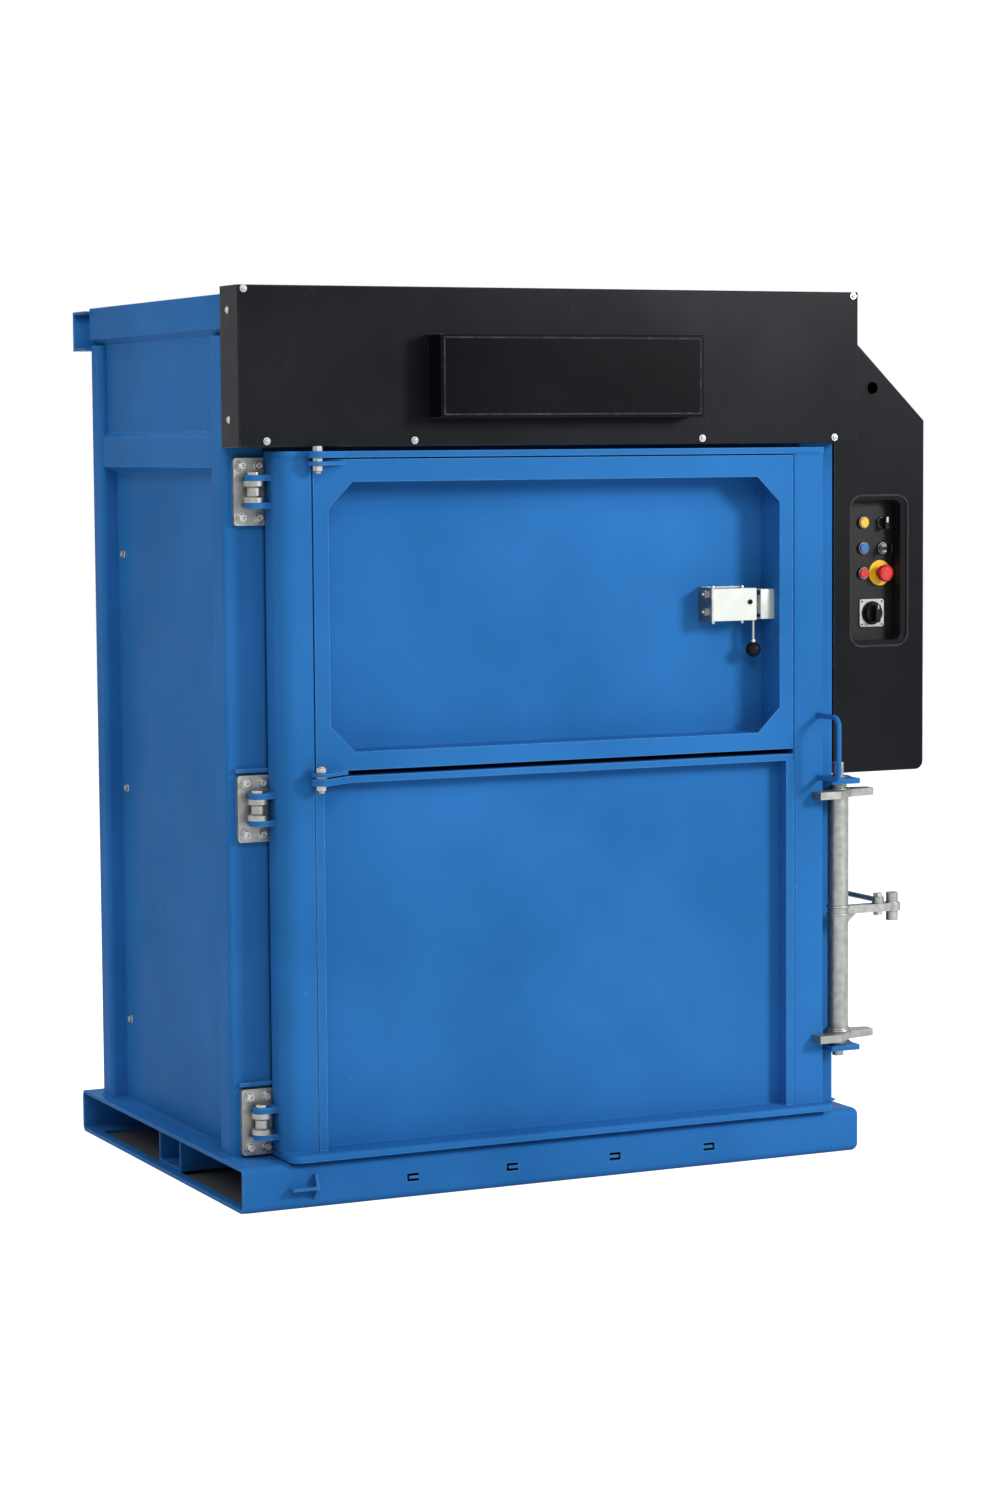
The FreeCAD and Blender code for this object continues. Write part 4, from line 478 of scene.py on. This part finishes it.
def button_head(mesh, matrix, radius, tall, socket):
    dome = [circle(radius * reach, tall * rise) for reach, rise in DOME]
    skin(mesh, [*dome, hexagon(socket, tall), hexagon(socket, tall * 0.4)], matrix)


def fastened(mesh, face, disc, head, *sizes):
    """A washer on a face, by radius, thickness and bore, and a head of these sizes on top."""
    washer(mesh, face, *disc)
    head(mesh, face @ Matrix.Translation((0, 0, disc[1])), *sizes)


def threaded_end(mesh, matrix, radius, low, high, pitch=1.5):
    """A stud's end, with grooves for its thread and a chamfered tip."""
    chamfer = 1
    outline = [(radius * 0.9, low)]
    height = low
    while height + pitch < high - chamfer:
        outline += [(radius, height + pitch * 0.3), (radius * 0.88, height + pitch * 0.8)]
        height += pitch
    outline += [(radius, high - chamfer), (radius * 0.8, high)]
    lathe(mesh, outline, matrix, RING)


# ---------------------------------------------------------------- beads, plates and pieces

SHARP_ANGLE = math.radians(38)
BEAD_STEP = 3.5
BEAD_SIDES = 8
RING_BEAD_STEPS = 36
# Shares of a bead's radius: what is left at its ends, its ripples and its unevenness
BEAD_END, RIPPLE, UNEVEN = 0.6, 0.12, 0.05
RIPPLE_LENGTH, UNEVEN_SCALE = 5.0, 0.06
# A run that rises more steeply than this counts as upright
STEEP = 0.7


def bead(mesh, path, radius, closed=False):
    """A weld bead along a path: a rope of small ripples, half sunk in what it joins."""
    corners = [Vector(corner) for corner in path]
    if closed:
        corners.append(corners[0])
    points = []
    for start, end in zip(corners, corners[1:]):
        steps = max(1, round((end - start).length / BEAD_STEP))
        points += [start.lerp(end, step / steps) for step in range(steps)]
    if not closed:
        points.append(corners[-1])
    last = len(points) - 1
    rows = []
    for step, point in enumerate(points):
        before = points[step - 1] if step or closed else point
        after = points[(step + 1) % len(points)] if step < last or closed else point
        along = (after - before).normalized()
        side = along.cross(Vector(UP if abs(along.z) < STEEP else BACK)).normalized()
        rise = side.cross(along)
        ripple = math.sin(math.tau * step * BEAD_STEP / RIPPLE_LENGTH)
        swell = 1 + RIPPLE * ripple + UNEVEN * noise.noise(point * UNEVEN_SCALE)
        if not closed and step in (0, last):
            swell *= BEAD_END
        rows.append([mesh.verts.new((point + (side * x + rise * y) * radius * swell) * MM)
                     for x, y, _ in circle(1, 0, BEAD_SIDES)])
    join_rows(mesh, rows, (True, True), closed)


def ring_bead(mesh, place, height, reach, radius):
    """A bead round an upright axis."""
    path = [(place[0] + x, place[1] + y, z) for x, y, z in circle(reach, height, RING_BEAD_STEPS)]
    bead(mesh, path, radius, closed=True)


def plate_piece(mesh, low, high, edge):
    """A plate with its edges broken by a small bevel."""
    made = bmesh.ops.create_cube(mesh, size=1)["verts"]
    for vert in made:
        vert.co = Vector([(near + far) / 2 + share * (far - near)
                          for near, far, share in zip(low, high, vert.co)]) * MM
    edges = list({line for vert in made for line in vert.link_edges})
    bmesh.ops.bevel(mesh, geom=edges, offset=edge * MM, segments=2, affect="EDGES", profile=0.5)


def finished(name, mesh, slot, body, *replaced):
    """Turns mesh work into a piece that rides on a body and takes a material slot's finish."""
    bmesh.ops.recalc_face_normals(mesh, faces=mesh.faces)
    data = bpy.data.meshes.new(name)
    mesh.to_mesh(data)
    mesh.free()
    data.shade_smooth()
    data.set_sharp_from_angle(angle=SHARP_ANGLE)
    data.materials.append(finish_of(name, slot))
    piece = bpy.data.objects.new(name, data)
    bpy.context.collection.objects.link(piece)
    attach(piece, body)
    if replaced:
        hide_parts(*replaced)


# ---------------------------------------------------------------- places on the machine

# Upright axes, seen from above
HATCH_PIVOT = (-588, -540)
LATCH_LEVER = (513, -466)
LOCK_TUBE = (724, -490)
CLEVIS = (832, -490)
LEVER_BOSS = (870, -490)

# X of left and right sides, Y of fronts and Z of heights. X without a sign is that of both sides.
HINGE_ACROSS, HINGE_LEFT, HINGE_RIGHT = -701, -738, -664
HINGE_HEIGHTS = (1547.5, 864, 179)
TRAY_TOP = 100
POST_INNER, POST_OUTER, POST_FRONT = 657, 757, -415
WALL = 720
DOOR_FRONT, DOOR_OPENING, DOOR_LOW = -515, 592, 119
TRANSOM_LOW, TRANSOM_HIGH = 918, 933
LATCH_FRONT, LATCH_HEIGHT, LATCH_BOX_LOW, LATCH_BOX_HIGH = -489, 1276, 1241, 1314
ARM_LOW, ARM_HIGH = 552, 570
CONTROL_PLATE = -360
# Middles of the controls, seen from the front
SELECTOR = (919, 1454)
KEY = (919, 1394)
SWITCH = (890, 1242)
SWITCH_FRONT = CONTROL_PLATE - 5

# ---------------------------------------------------------------- fasteners

# Sheet-metal screws: washer, and the head's radius, height and socket
SHEET_WASHER, SHEET_HEAD = (8.2, 1.2, 3), (5.6, 3.6, 3.5)


def hinge_fasteners():
    """Four cap screws on each hinge's leaf."""
    mesh = bmesh.new()
    leaf, across, up = -430, 19.5, 56
    for height in HINGE_HEIGHTS:
        for side in SIDES:
            for rise in (-1, 1):
                place = (HINGE_ACROSS + side * across, leaf, height + rise * up)
                fastened(mesh, toward(FRONT, place), (12, 2.2, 5), socket_head, 9, 8, 9)
    finished("hinge_cap_screws", mesh, "fastener_steel", "press_frame", "hinge_screws")


def cover_fasteners():
    """The hood's screws, on its front and its ends, and three bolts on each side wall."""
    mesh = bmesh.new()
    hood_front, hood_half = -520, 758.5
    bolt_depth, bolt_top, bolt_pitch = 340, 1395, 550
    for side, outward in SIDES.items():
        for across, height in ((745, 1976.5), (696, 1655), (353, 1655)):
            face = toward(FRONT, (side * across, hood_front, height))
            fastened(mesh, face, SHEET_WASHER, button_head, *SHEET_HEAD)
        for height in (1933, 1701):
            face = toward(outward, (side * hood_half, hood_front + 60, height))
            fastened(mesh, face, SHEET_WASHER, button_head, *SHEET_HEAD)
        for step in range(3):
            face = toward(outward, (side * WALL, bolt_depth, bolt_top - step * bolt_pitch))
            fastened(mesh, face, (10.5, 1.6, 4), hex_head, 14, 5.3)
    finished("cover_button_screws", mesh, "fastener_steel", "press_frame", "cover_screws")


def pivot_fasteners():
    """The hatch's two pivot bolts: a thread from end to end, with nuts and a washer on it."""
    mesh = bmesh.new()
    bore = 7.9
    nut, disc = (hex_head, 20), (washer, 13)
    # Each nut or washer with its foot and its height, then the bolt's two ends
    stacks = (((nut, 1591.7, 11), (nut, 1611.3, 7.7), (nut, 1633, 11), (1585.5, 1645.5)),
              ((nut, 907, 11), (disc, 933, 3.7), (nut, 945.3, 11), (901.5, 960.5)))
    for *rings, ends in stacks:
        threaded_end(mesh, toward(UP, (*HATCH_PIVOT, 0)), bore, *ends)
        for (make, wide), foot, tall in rings:
            make(mesh, toward(UP, (*HATCH_PIVOT, foot)), wide, tall, bore)
    finished("hatch_pivot_nuts", mesh, "fastener_steel", "main_door", "hatch_pins")


def latch_fasteners():
    """The latch's nuts and studs, its set screw, and the ferrules at both ends of its lever."""
    mesh = bmesh.new()
    bracket_left = 393
    stud_left, stud_pitch, stud_depth = 403, 75, -477
    for rise in (26, -14):
        face = toward(SIDES[-1], (bracket_left, LATCH_LEVER[1], LATCH_HEIGHT + rise))
        fastened(mesh, face, (10.5, 1.5, 4), hex_head, 17, 7.5, 4.5)
        threaded_end(mesh, face, 4.4, 7, 14, 1.2)
    for across in (stud_left, stud_left + stud_pitch):
        for height, way in ((LATCH_BOX_HIGH, UP), (LATCH_BOX_LOW, DOWN)):
            lathe(mesh, [(4.4, 0), (4.4, 4.6), (3.7, 6.6), (2.4, 7.2)],
                  toward(way, (across, stud_depth, height)), 20)
    finished("latch_studs", mesh, "fastener_steel", "hatch")
    mesh = bmesh.new()
    socket_head(mesh, toward(FRONT, (492, LATCH_FRONT, 1283)), 5.5, 4.5, 5)
    finished("latch_set_screw", mesh, "black_plastic", "hatch")
    mesh = bmesh.new()
    for height, way, outline in (
            (1189, UP, [(3.6, 0), (6.2, 0), (6.2, 5), (5.2, 7), (3.6, 7)]),
            (1268.5, DOWN, [(3.6, 0), (6.6, 0), (6.6, 6.5), (5.6, 8.5), (3.6, 8.5)])):
        lathe(mesh, outline, toward(way, (*LATCH_LEVER, height)), RING, looped=True)
    finished("lever_ferrules", mesh, "fastener_steel", "latch_bolt")


def latch_guide_cover():
    """The folded plate round the bolt's guide, as tall as the latch box."""
    mesh = bmesh.new()
    left, right, rear = 520, 556, -448
    low, high, thick, edge = 1243, 1311, 2.5, 0.6
    inside = LATCH_FRONT + thick
    plate_piece(mesh, (left, LATCH_FRONT, low), (right, inside, high), edge)
    for height in (low, high - thick):
        plate_piece(mesh, (left, inside, height), (right, rear, height + thick), edge)
    finished("latch_guide_cover", mesh, "cream_plated", "hatch")


def lock_fasteners():
    """The clevis bolt's head and nut, and the caps and collars of the lock's two pins."""
    mesh = bmesh.new()
    eye_top, across, tall = 585.4, 21.5, 9
    hex_head(mesh, toward(UP, (*CLEVIS, eye_top)), across, tall)
    hex_head(mesh, toward(DOWN, (*CLEVIS, ARM_LOW)), across, tall, 5.5)
    finished("clevis_bolt_heads", mesh, "fastener_steel", "lock_shaft")
    mesh = bmesh.new()
    for height, way in ((905, UP), (222, DOWN)):
        lathe(mesh, [(13.4, -4), (13.4, -0.5), (12.2, 1.4), (9, 1.6)],
              toward(way, (*LOCK_TUBE, height)))
    for height in (872, 234):
        lathe(mesh, [(13, -2), (19, -2), (20, -1), (20, 1), (19, 2), (13, 2)],
              toward(UP, (*LOCK_TUBE, height)), looped=True)
    finished("lock_pin_caps", mesh, "galvanised", "press_frame")


def cabinet_fasteners():
    """The rear cover's screws, and the rim of the round hole in the front sheet."""
    mesh = bmesh.new()
    rear = 208
    for across, heights in ((772, (890, 1230, 1560, 1885)), (984, (895, 1170, 1440, 1680))):
        for height in heights:
            face = toward(BACK, (across, rear, height))
            fastened(mesh, face, (7.5, 1.2, 3), button_head, 5.6, 3.4, 3.5)
    finished("cabinet_cover_screws", mesh, "fastener_steel", "press_frame")
    mesh = bmesh.new()
    lathe(mesh, [(14.1, 0), (17.2, 0), (17.8, 0.7), (17.2, 1.5), (14.9, 1.5), (14.1, 0.8)],
          toward(FRONT, (860, POST_FRONT, 1769)), 40, looped=True)
    finished("cabinet_hole_rim", mesh, "black_plastic", "press_frame")


# ---------------------------------------------------------------- welds
# Each bead's last number is its radius.


def frame_welds():
    """Beads on the posts, walls and rear channel, and at what is welded to posts and tray."""
    mesh = bmesh.new()
    wall_front, wall_rear, post_rear = -338, 382, 450
    channel_across, channel_top = 700, 1963.5
    for side in SIDES:
        near, far = side * POST_INNER, side * POST_OUTER
        for front, rear in ((POST_FRONT, wall_front), (wall_rear, post_rear)):
            bead(mesh, [(near, front, TRAY_TOP), (far, front, TRAY_TOP), (far, rear, TRAY_TOP),
                        (near, rear, TRAY_TOP)], 3.2, closed=True)
        bead(mesh, [(side * WALL, y, TRAY_TOP) for y in (wall_front, wall_rear)], 3.0)
        bead(mesh, [(side * channel_across, y, channel_top) for y in (wall_rear, post_rear)], 2.6)
    # The lock's brackets, above and below their plates, and the rear wall's foot
    post_face, rear_wall = POST_FRONT - 0.5, 413
    for height in (858, 870, 236, 248):
        bead(mesh, [(690, post_face, height), (745, post_face, height)], 3.0)
    bead(mesh, [(-POST_INNER, rear_wall, TRAY_TOP), (POST_INNER, rear_wall, TRAY_TOP)], 3.0)
    # The left edges of the hinges' leaves, and the bars above the two lower leaves
    leaf_half, bar_up, bar_tall = 66.5, 78.5, 8
    for height in HINGE_HEIGHTS:
        bead(mesh, [(HINGE_LEFT, post_face, height - leaf_half),
                    (HINGE_LEFT, post_face, height + leaf_half)], 2.6)
    for hinge in HINGE_HEIGHTS[1:]:
        for height in (hinge + bar_up, hinge + bar_up + bar_tall):
            bead(mesh, [(x, POST_FRONT - 0.8, height) for x in (HINGE_LEFT, HINGE_RIGHT)], 2.2)
    # The stop bracket on the tray, the pull rod's guide and the fork pocket divider
    stop_left, stop_right, tray_face, shelf = -672, -611, -535.5, 50
    for across in (stop_left, stop_right):
        bead(mesh, [(across, tray_face, shelf - 6), (across, tray_face, shelf)], 2.4)
    bead(mesh, [(stop_left, tray_face, shelf), (stop_right, tray_face, shelf)], 2.4)
    for height in (550.5, 604.5):
        bead(mesh, [(WALL + 0.5, y, height) for y in (-153, -147)], 2.4)
    divider_top = 91.5
    for depth in (-80, 60):
        bead(mesh, [(-754, depth, divider_top), (-680, depth, divider_top)], 2.6)
    finished("frame_weld_beads", mesh, "blue_paint", "press_frame")


# The door posts' front edges, seen from above: the left one ends in a wide fold
FOLD_RADIUS, FOLD_ACROSS, FOLD_DEPTH = 42, -628, -472.5
FOLD_ANGLES = [math.radians(step * 15) for step in range(7)]
POST_EDGES = {
    1: [(594, -514.5), (666, -514.5)],
    -1: [(-594, -514.5)] + [(FOLD_ACROSS - FOLD_RADIUS * math.sin(angle),
                             FOLD_DEPTH - FOLD_RADIUS * math.cos(angle)) for angle in FOLD_ANGLES],
}


def door_welds():
    """Beads round the lower panel, on the posts' ends and the transom, at handle and lugs."""
    mesh = bmesh.new()
    panel, panel_half, door_top = -475, 571, 1619
    for side in SIDES:
        opening = side * DOOR_OPENING
        edge = side * (panel_half + 0.5)
        bead(mesh, [(edge, panel, DOOR_LOW), (edge, panel, TRANSOM_LOW)], 2.4)
        for height in (DOOR_LOW, door_top):
            bead(mesh, [(x, y, height) for x, y in POST_EDGES[side]], 2.6)
        for height in (TRANSOM_LOW, TRANSOM_HIGH):
            bead(mesh, [(opening, -513, height), (opening, -436, height)], 2.6)
        ends = (TRANSOM_LOW + 1, TRANSOM_HIGH - 1)
        bead(mesh, [(opening, DOOR_FRONT, height) for height in ends], 2.2)
    for height in (DOOR_LOW, TRANSOM_LOW):
        bead(mesh, [(-panel_half, panel, height), (panel_half, panel, height)], 2.4)
    # Round the pull handle's two feet
    handle, reach = 656, 6.6
    for height in (876, 1019):
        path = [(handle + x, DOOR_FRONT, height + y) for x, y, _ in circle(reach, 0, 16)]
        bead(mesh, path, 2.2, closed=True)
    # Above and below each of the hinges' lugs
    door_half, lug_up, lug_half = 670, 29.5, 6
    for height in HINGE_HEIGHTS:
        for side in SIDES:
            for rise in (-lug_half, lug_half):
                level = height + side * lug_up + rise
                bead(mesh, [(-door_half, y, level) for y in (-471, -433)], 2.4)
    finished("door_weld_beads", mesh, "blue_paint", "main_door")


def hatch_welds():
    """Beads round the panel, along both legs of each corner gusset, and at the top ear."""
    mesh = bmesh.new()
    half, low, high = 555, 985, 1567
    panel, gusset, gusset_ends = -423.5, -511.5, (52, 5)
    ear_left, ear_right, ear_face = -585, -520, -515.6
    bead(mesh, [(-half, panel, low), (half, panel, low), (half, panel, high), (-half, panel, high)],
         2.6, closed=True)
    for side in SIDES:
        for corner, inward in ((low, 1), (high, -1)):
            bead(mesh, [(side * half, gusset, corner + inward * reach) for reach in gusset_ends],
                 2.2)
            bead(mesh, [(side * (half - reach), gusset, corner) for reach in gusset_ends], 2.2)
    for height in (1603, 1611):
        bead(mesh, [(ear_right, ear_face, height), (ear_left, ear_face, height)], 2.0)
    finished("hatch_weld_beads", mesh, "blue_paint", "hatch")


def lock_welds():
    """Beads on the lock's tube at its claws and arm, on the arm's gussets and its boss."""
    mesh = bmesh.new()
    # Above and below the upper claw, the lower claw and the arm, by height and radius
    for height, radius in ((844, 2.6), (827, 2.6), (279, 3.6), (262, 2.6), (ARM_HIGH, 2.8),
                           (ARM_LOW, 2.4)):
        ring_bead(mesh, LOCK_TUBE, height, 24.8, radius)
    # The bead on top of the lower claw is built up in three runs
    ring_bead(mesh, LOCK_TUBE, 280, 28.5, 2.8)
    ring_bead(mesh, LOCK_TUBE, 284, 25.2, 2.8)
    gusset_foot, gusset_half = ARM_LOW - 0.5, 4
    for side in SIDES:
        depth = LOCK_TUBE[1] + side * gusset_half
        bead(mesh, [(750, depth, gusset_foot), (771, depth, gusset_foot)], 2.2)
    for height in (ARM_LOW, ARM_HIGH):
        ring_bead(mesh, LEVER_BOSS, height, 14.6, 2.2)
    finished("lock_weld_beads", mesh, "galvanised", "lock_shaft")


def platen_welds():
    """Beads at the ribs' feet. The two outer long ribs have none in the middle row of cells."""
    mesh = bmesh.new()
    plate_top, rib_half, short = 1612, 4, 3
    middle_row = (-126, 156)
    for across in (-480, 0, 480):
        for edge in (-rib_half, rib_half):
            for start, end in ((-397, -134), middle_row, (164, 392)):
                if across == 0 or (start, end) != middle_row:
                    bead(mesh, [(across + edge, start + short, plate_top),
                                (across + edge, end - short, plate_top)], 2.8)
    for depth in (-134, -126, 156, 164):
        for start, end in ((-632, -484), (-476, -4), (4, 476), (484, 632)):
            bead(mesh, [(start + short, depth, plate_top), (end - short, depth, plate_top)], 2.8)
    finished("platen_weld_beads", mesh, "blue_paint", "platen")


# ---------------------------------------------------------------- controls


def key_and_bow():
    """The key switch's barrel with the key's blade in it, and the moulded bow."""
    mesh = bmesh.new()
    across, height = KEY
    front = CONTROL_PLATE - 13
    lathe(mesh, [(11.6, -13), (11.6, -1.2), (10.6, 0.2), (8.2, 0.2), (7.8, -0.4)],
          toward(FRONT, (across, front, height)), 40)
    plate_piece(mesh, (across - 1.1, front - 14, height - 4),
                (across + 1.1, front + 0.5, height + 4), 0.4)
    finished("key_switch", mesh, "cylinder_chrome", "key_selector", "key_selector")
    mesh = bmesh.new()
    plate_piece(mesh, (across - 1.8, front - 34, height - 10.5),
                (across + 1.8, front - 12, height + 10.5), 1.6)
    finished("key_bow", mesh, "black_plastic", "key_selector")


def selector_pointer():
    """The pale mark on the selector's knob."""
    mesh = bmesh.new()
    across, height = SELECTOR
    plate_piece(mesh, (across - 2.6, CONTROL_PLATE - 27.7, height + 1),
                (across + 2.6, CONTROL_PLATE - 26.6, height + 13.5), 0.4)
    finished("selector_pointer", mesh, "grey_plastic", "selector_knob")


def switch_details():
    """The main switch's marks and plate screws, the ring round its knob, and the pointer."""
    mesh = bmesh.new()
    across, height = SWITCH
    marks, mark_ends, screw = 12, (28.4, 30.6), 27
    for step in range(marks):
        angle = math.tau * step / marks
        bead(mesh, [(across + reach * math.sin(angle), SWITCH_FRONT - 0.1,
                     height + reach * math.cos(angle)) for reach in mark_ends], 0.7)
    for side in SIDES:
        for rise in (-1, 1):
            place = (across + side * screw, SWITCH_FRONT, height + rise * screw)
            button_head(mesh, toward(FRONT, place), 2.3, 1.2, 1.4)
    finished("switch_plate_marks", mesh, "black_plastic", "press_frame")
    mesh = bmesh.new()
    lathe(mesh, [(22.8, 0), (27.6, 0), (27.6, 1.6), (26.8, 2.4), (22.8, 2.4)],
          toward(FRONT, (across, SWITCH_FRONT, height)), 48, looped=True)
    finished("switch_ring", mesh, "black_plastic", "press_frame")
    mesh = bmesh.new()
    plate_piece(mesh, (across - 1.4, SWITCH_FRONT - 31.0, height + 10),
                (across + 1.4, SWITCH_FRONT - 29.8, height + 19), 0.4)
    finished("switch_pointer", mesh, "grey_plastic", "main_switch_knob")


def control_plate_screws():
    """Four small screws at the corners of the control plate."""
    mesh = bmesh.new()
    for across in (824, 936):
        for height in (1189, 1498):
            button_head(mesh, toward(FRONT, (across, CONTROL_PLATE, height)), 3.6, 2, 2.2)
    finished("control_plate_screws", mesh, "black_plastic", "press_frame")


def grip_sleeve():
    """The ribbed sleeve on the pull rod's rear end."""
    mesh = bmesh.new()
    ribs, pitch = 15, 6
    grip_front, rod_height = -60, 577.5
    outline = [(12.2, 0)]
    for base in range(0, ribs * pitch, pitch):
        outline += [(13.4, base + 1), (13.6, base + 2.5), (13.4, base + 4), (12.7, base + 5)]
    outline += [(13.2, 91), (12.4, 93), (8, 93.5)]
    lathe(mesh, outline, toward(BACK, (CLEVIS[0], grip_front, rod_height)))
    finished("pull_grip_sleeve", mesh, "black_plastic", "lock_pull_rod")


add_camera()
add_world()
add_floor()
for lamp in LAMPS:
    add_lamp(*lamp)
dress_nodes()
hinge_fasteners()
cover_fasteners()
pivot_fasteners()
latch_fasteners()
latch_guide_cover()
lock_fasteners()
cabinet_fasteners()
frame_welds()
door_welds()
hatch_welds()
lock_welds()
platen_welds()
key_and_bow()
selector_pointer()
switch_details()
control_plate_screws()
grip_sleeve()

scene = bpy.context.scene
scene.view_settings.view_transform = "Standard"
bpy.context.view_layer.update()
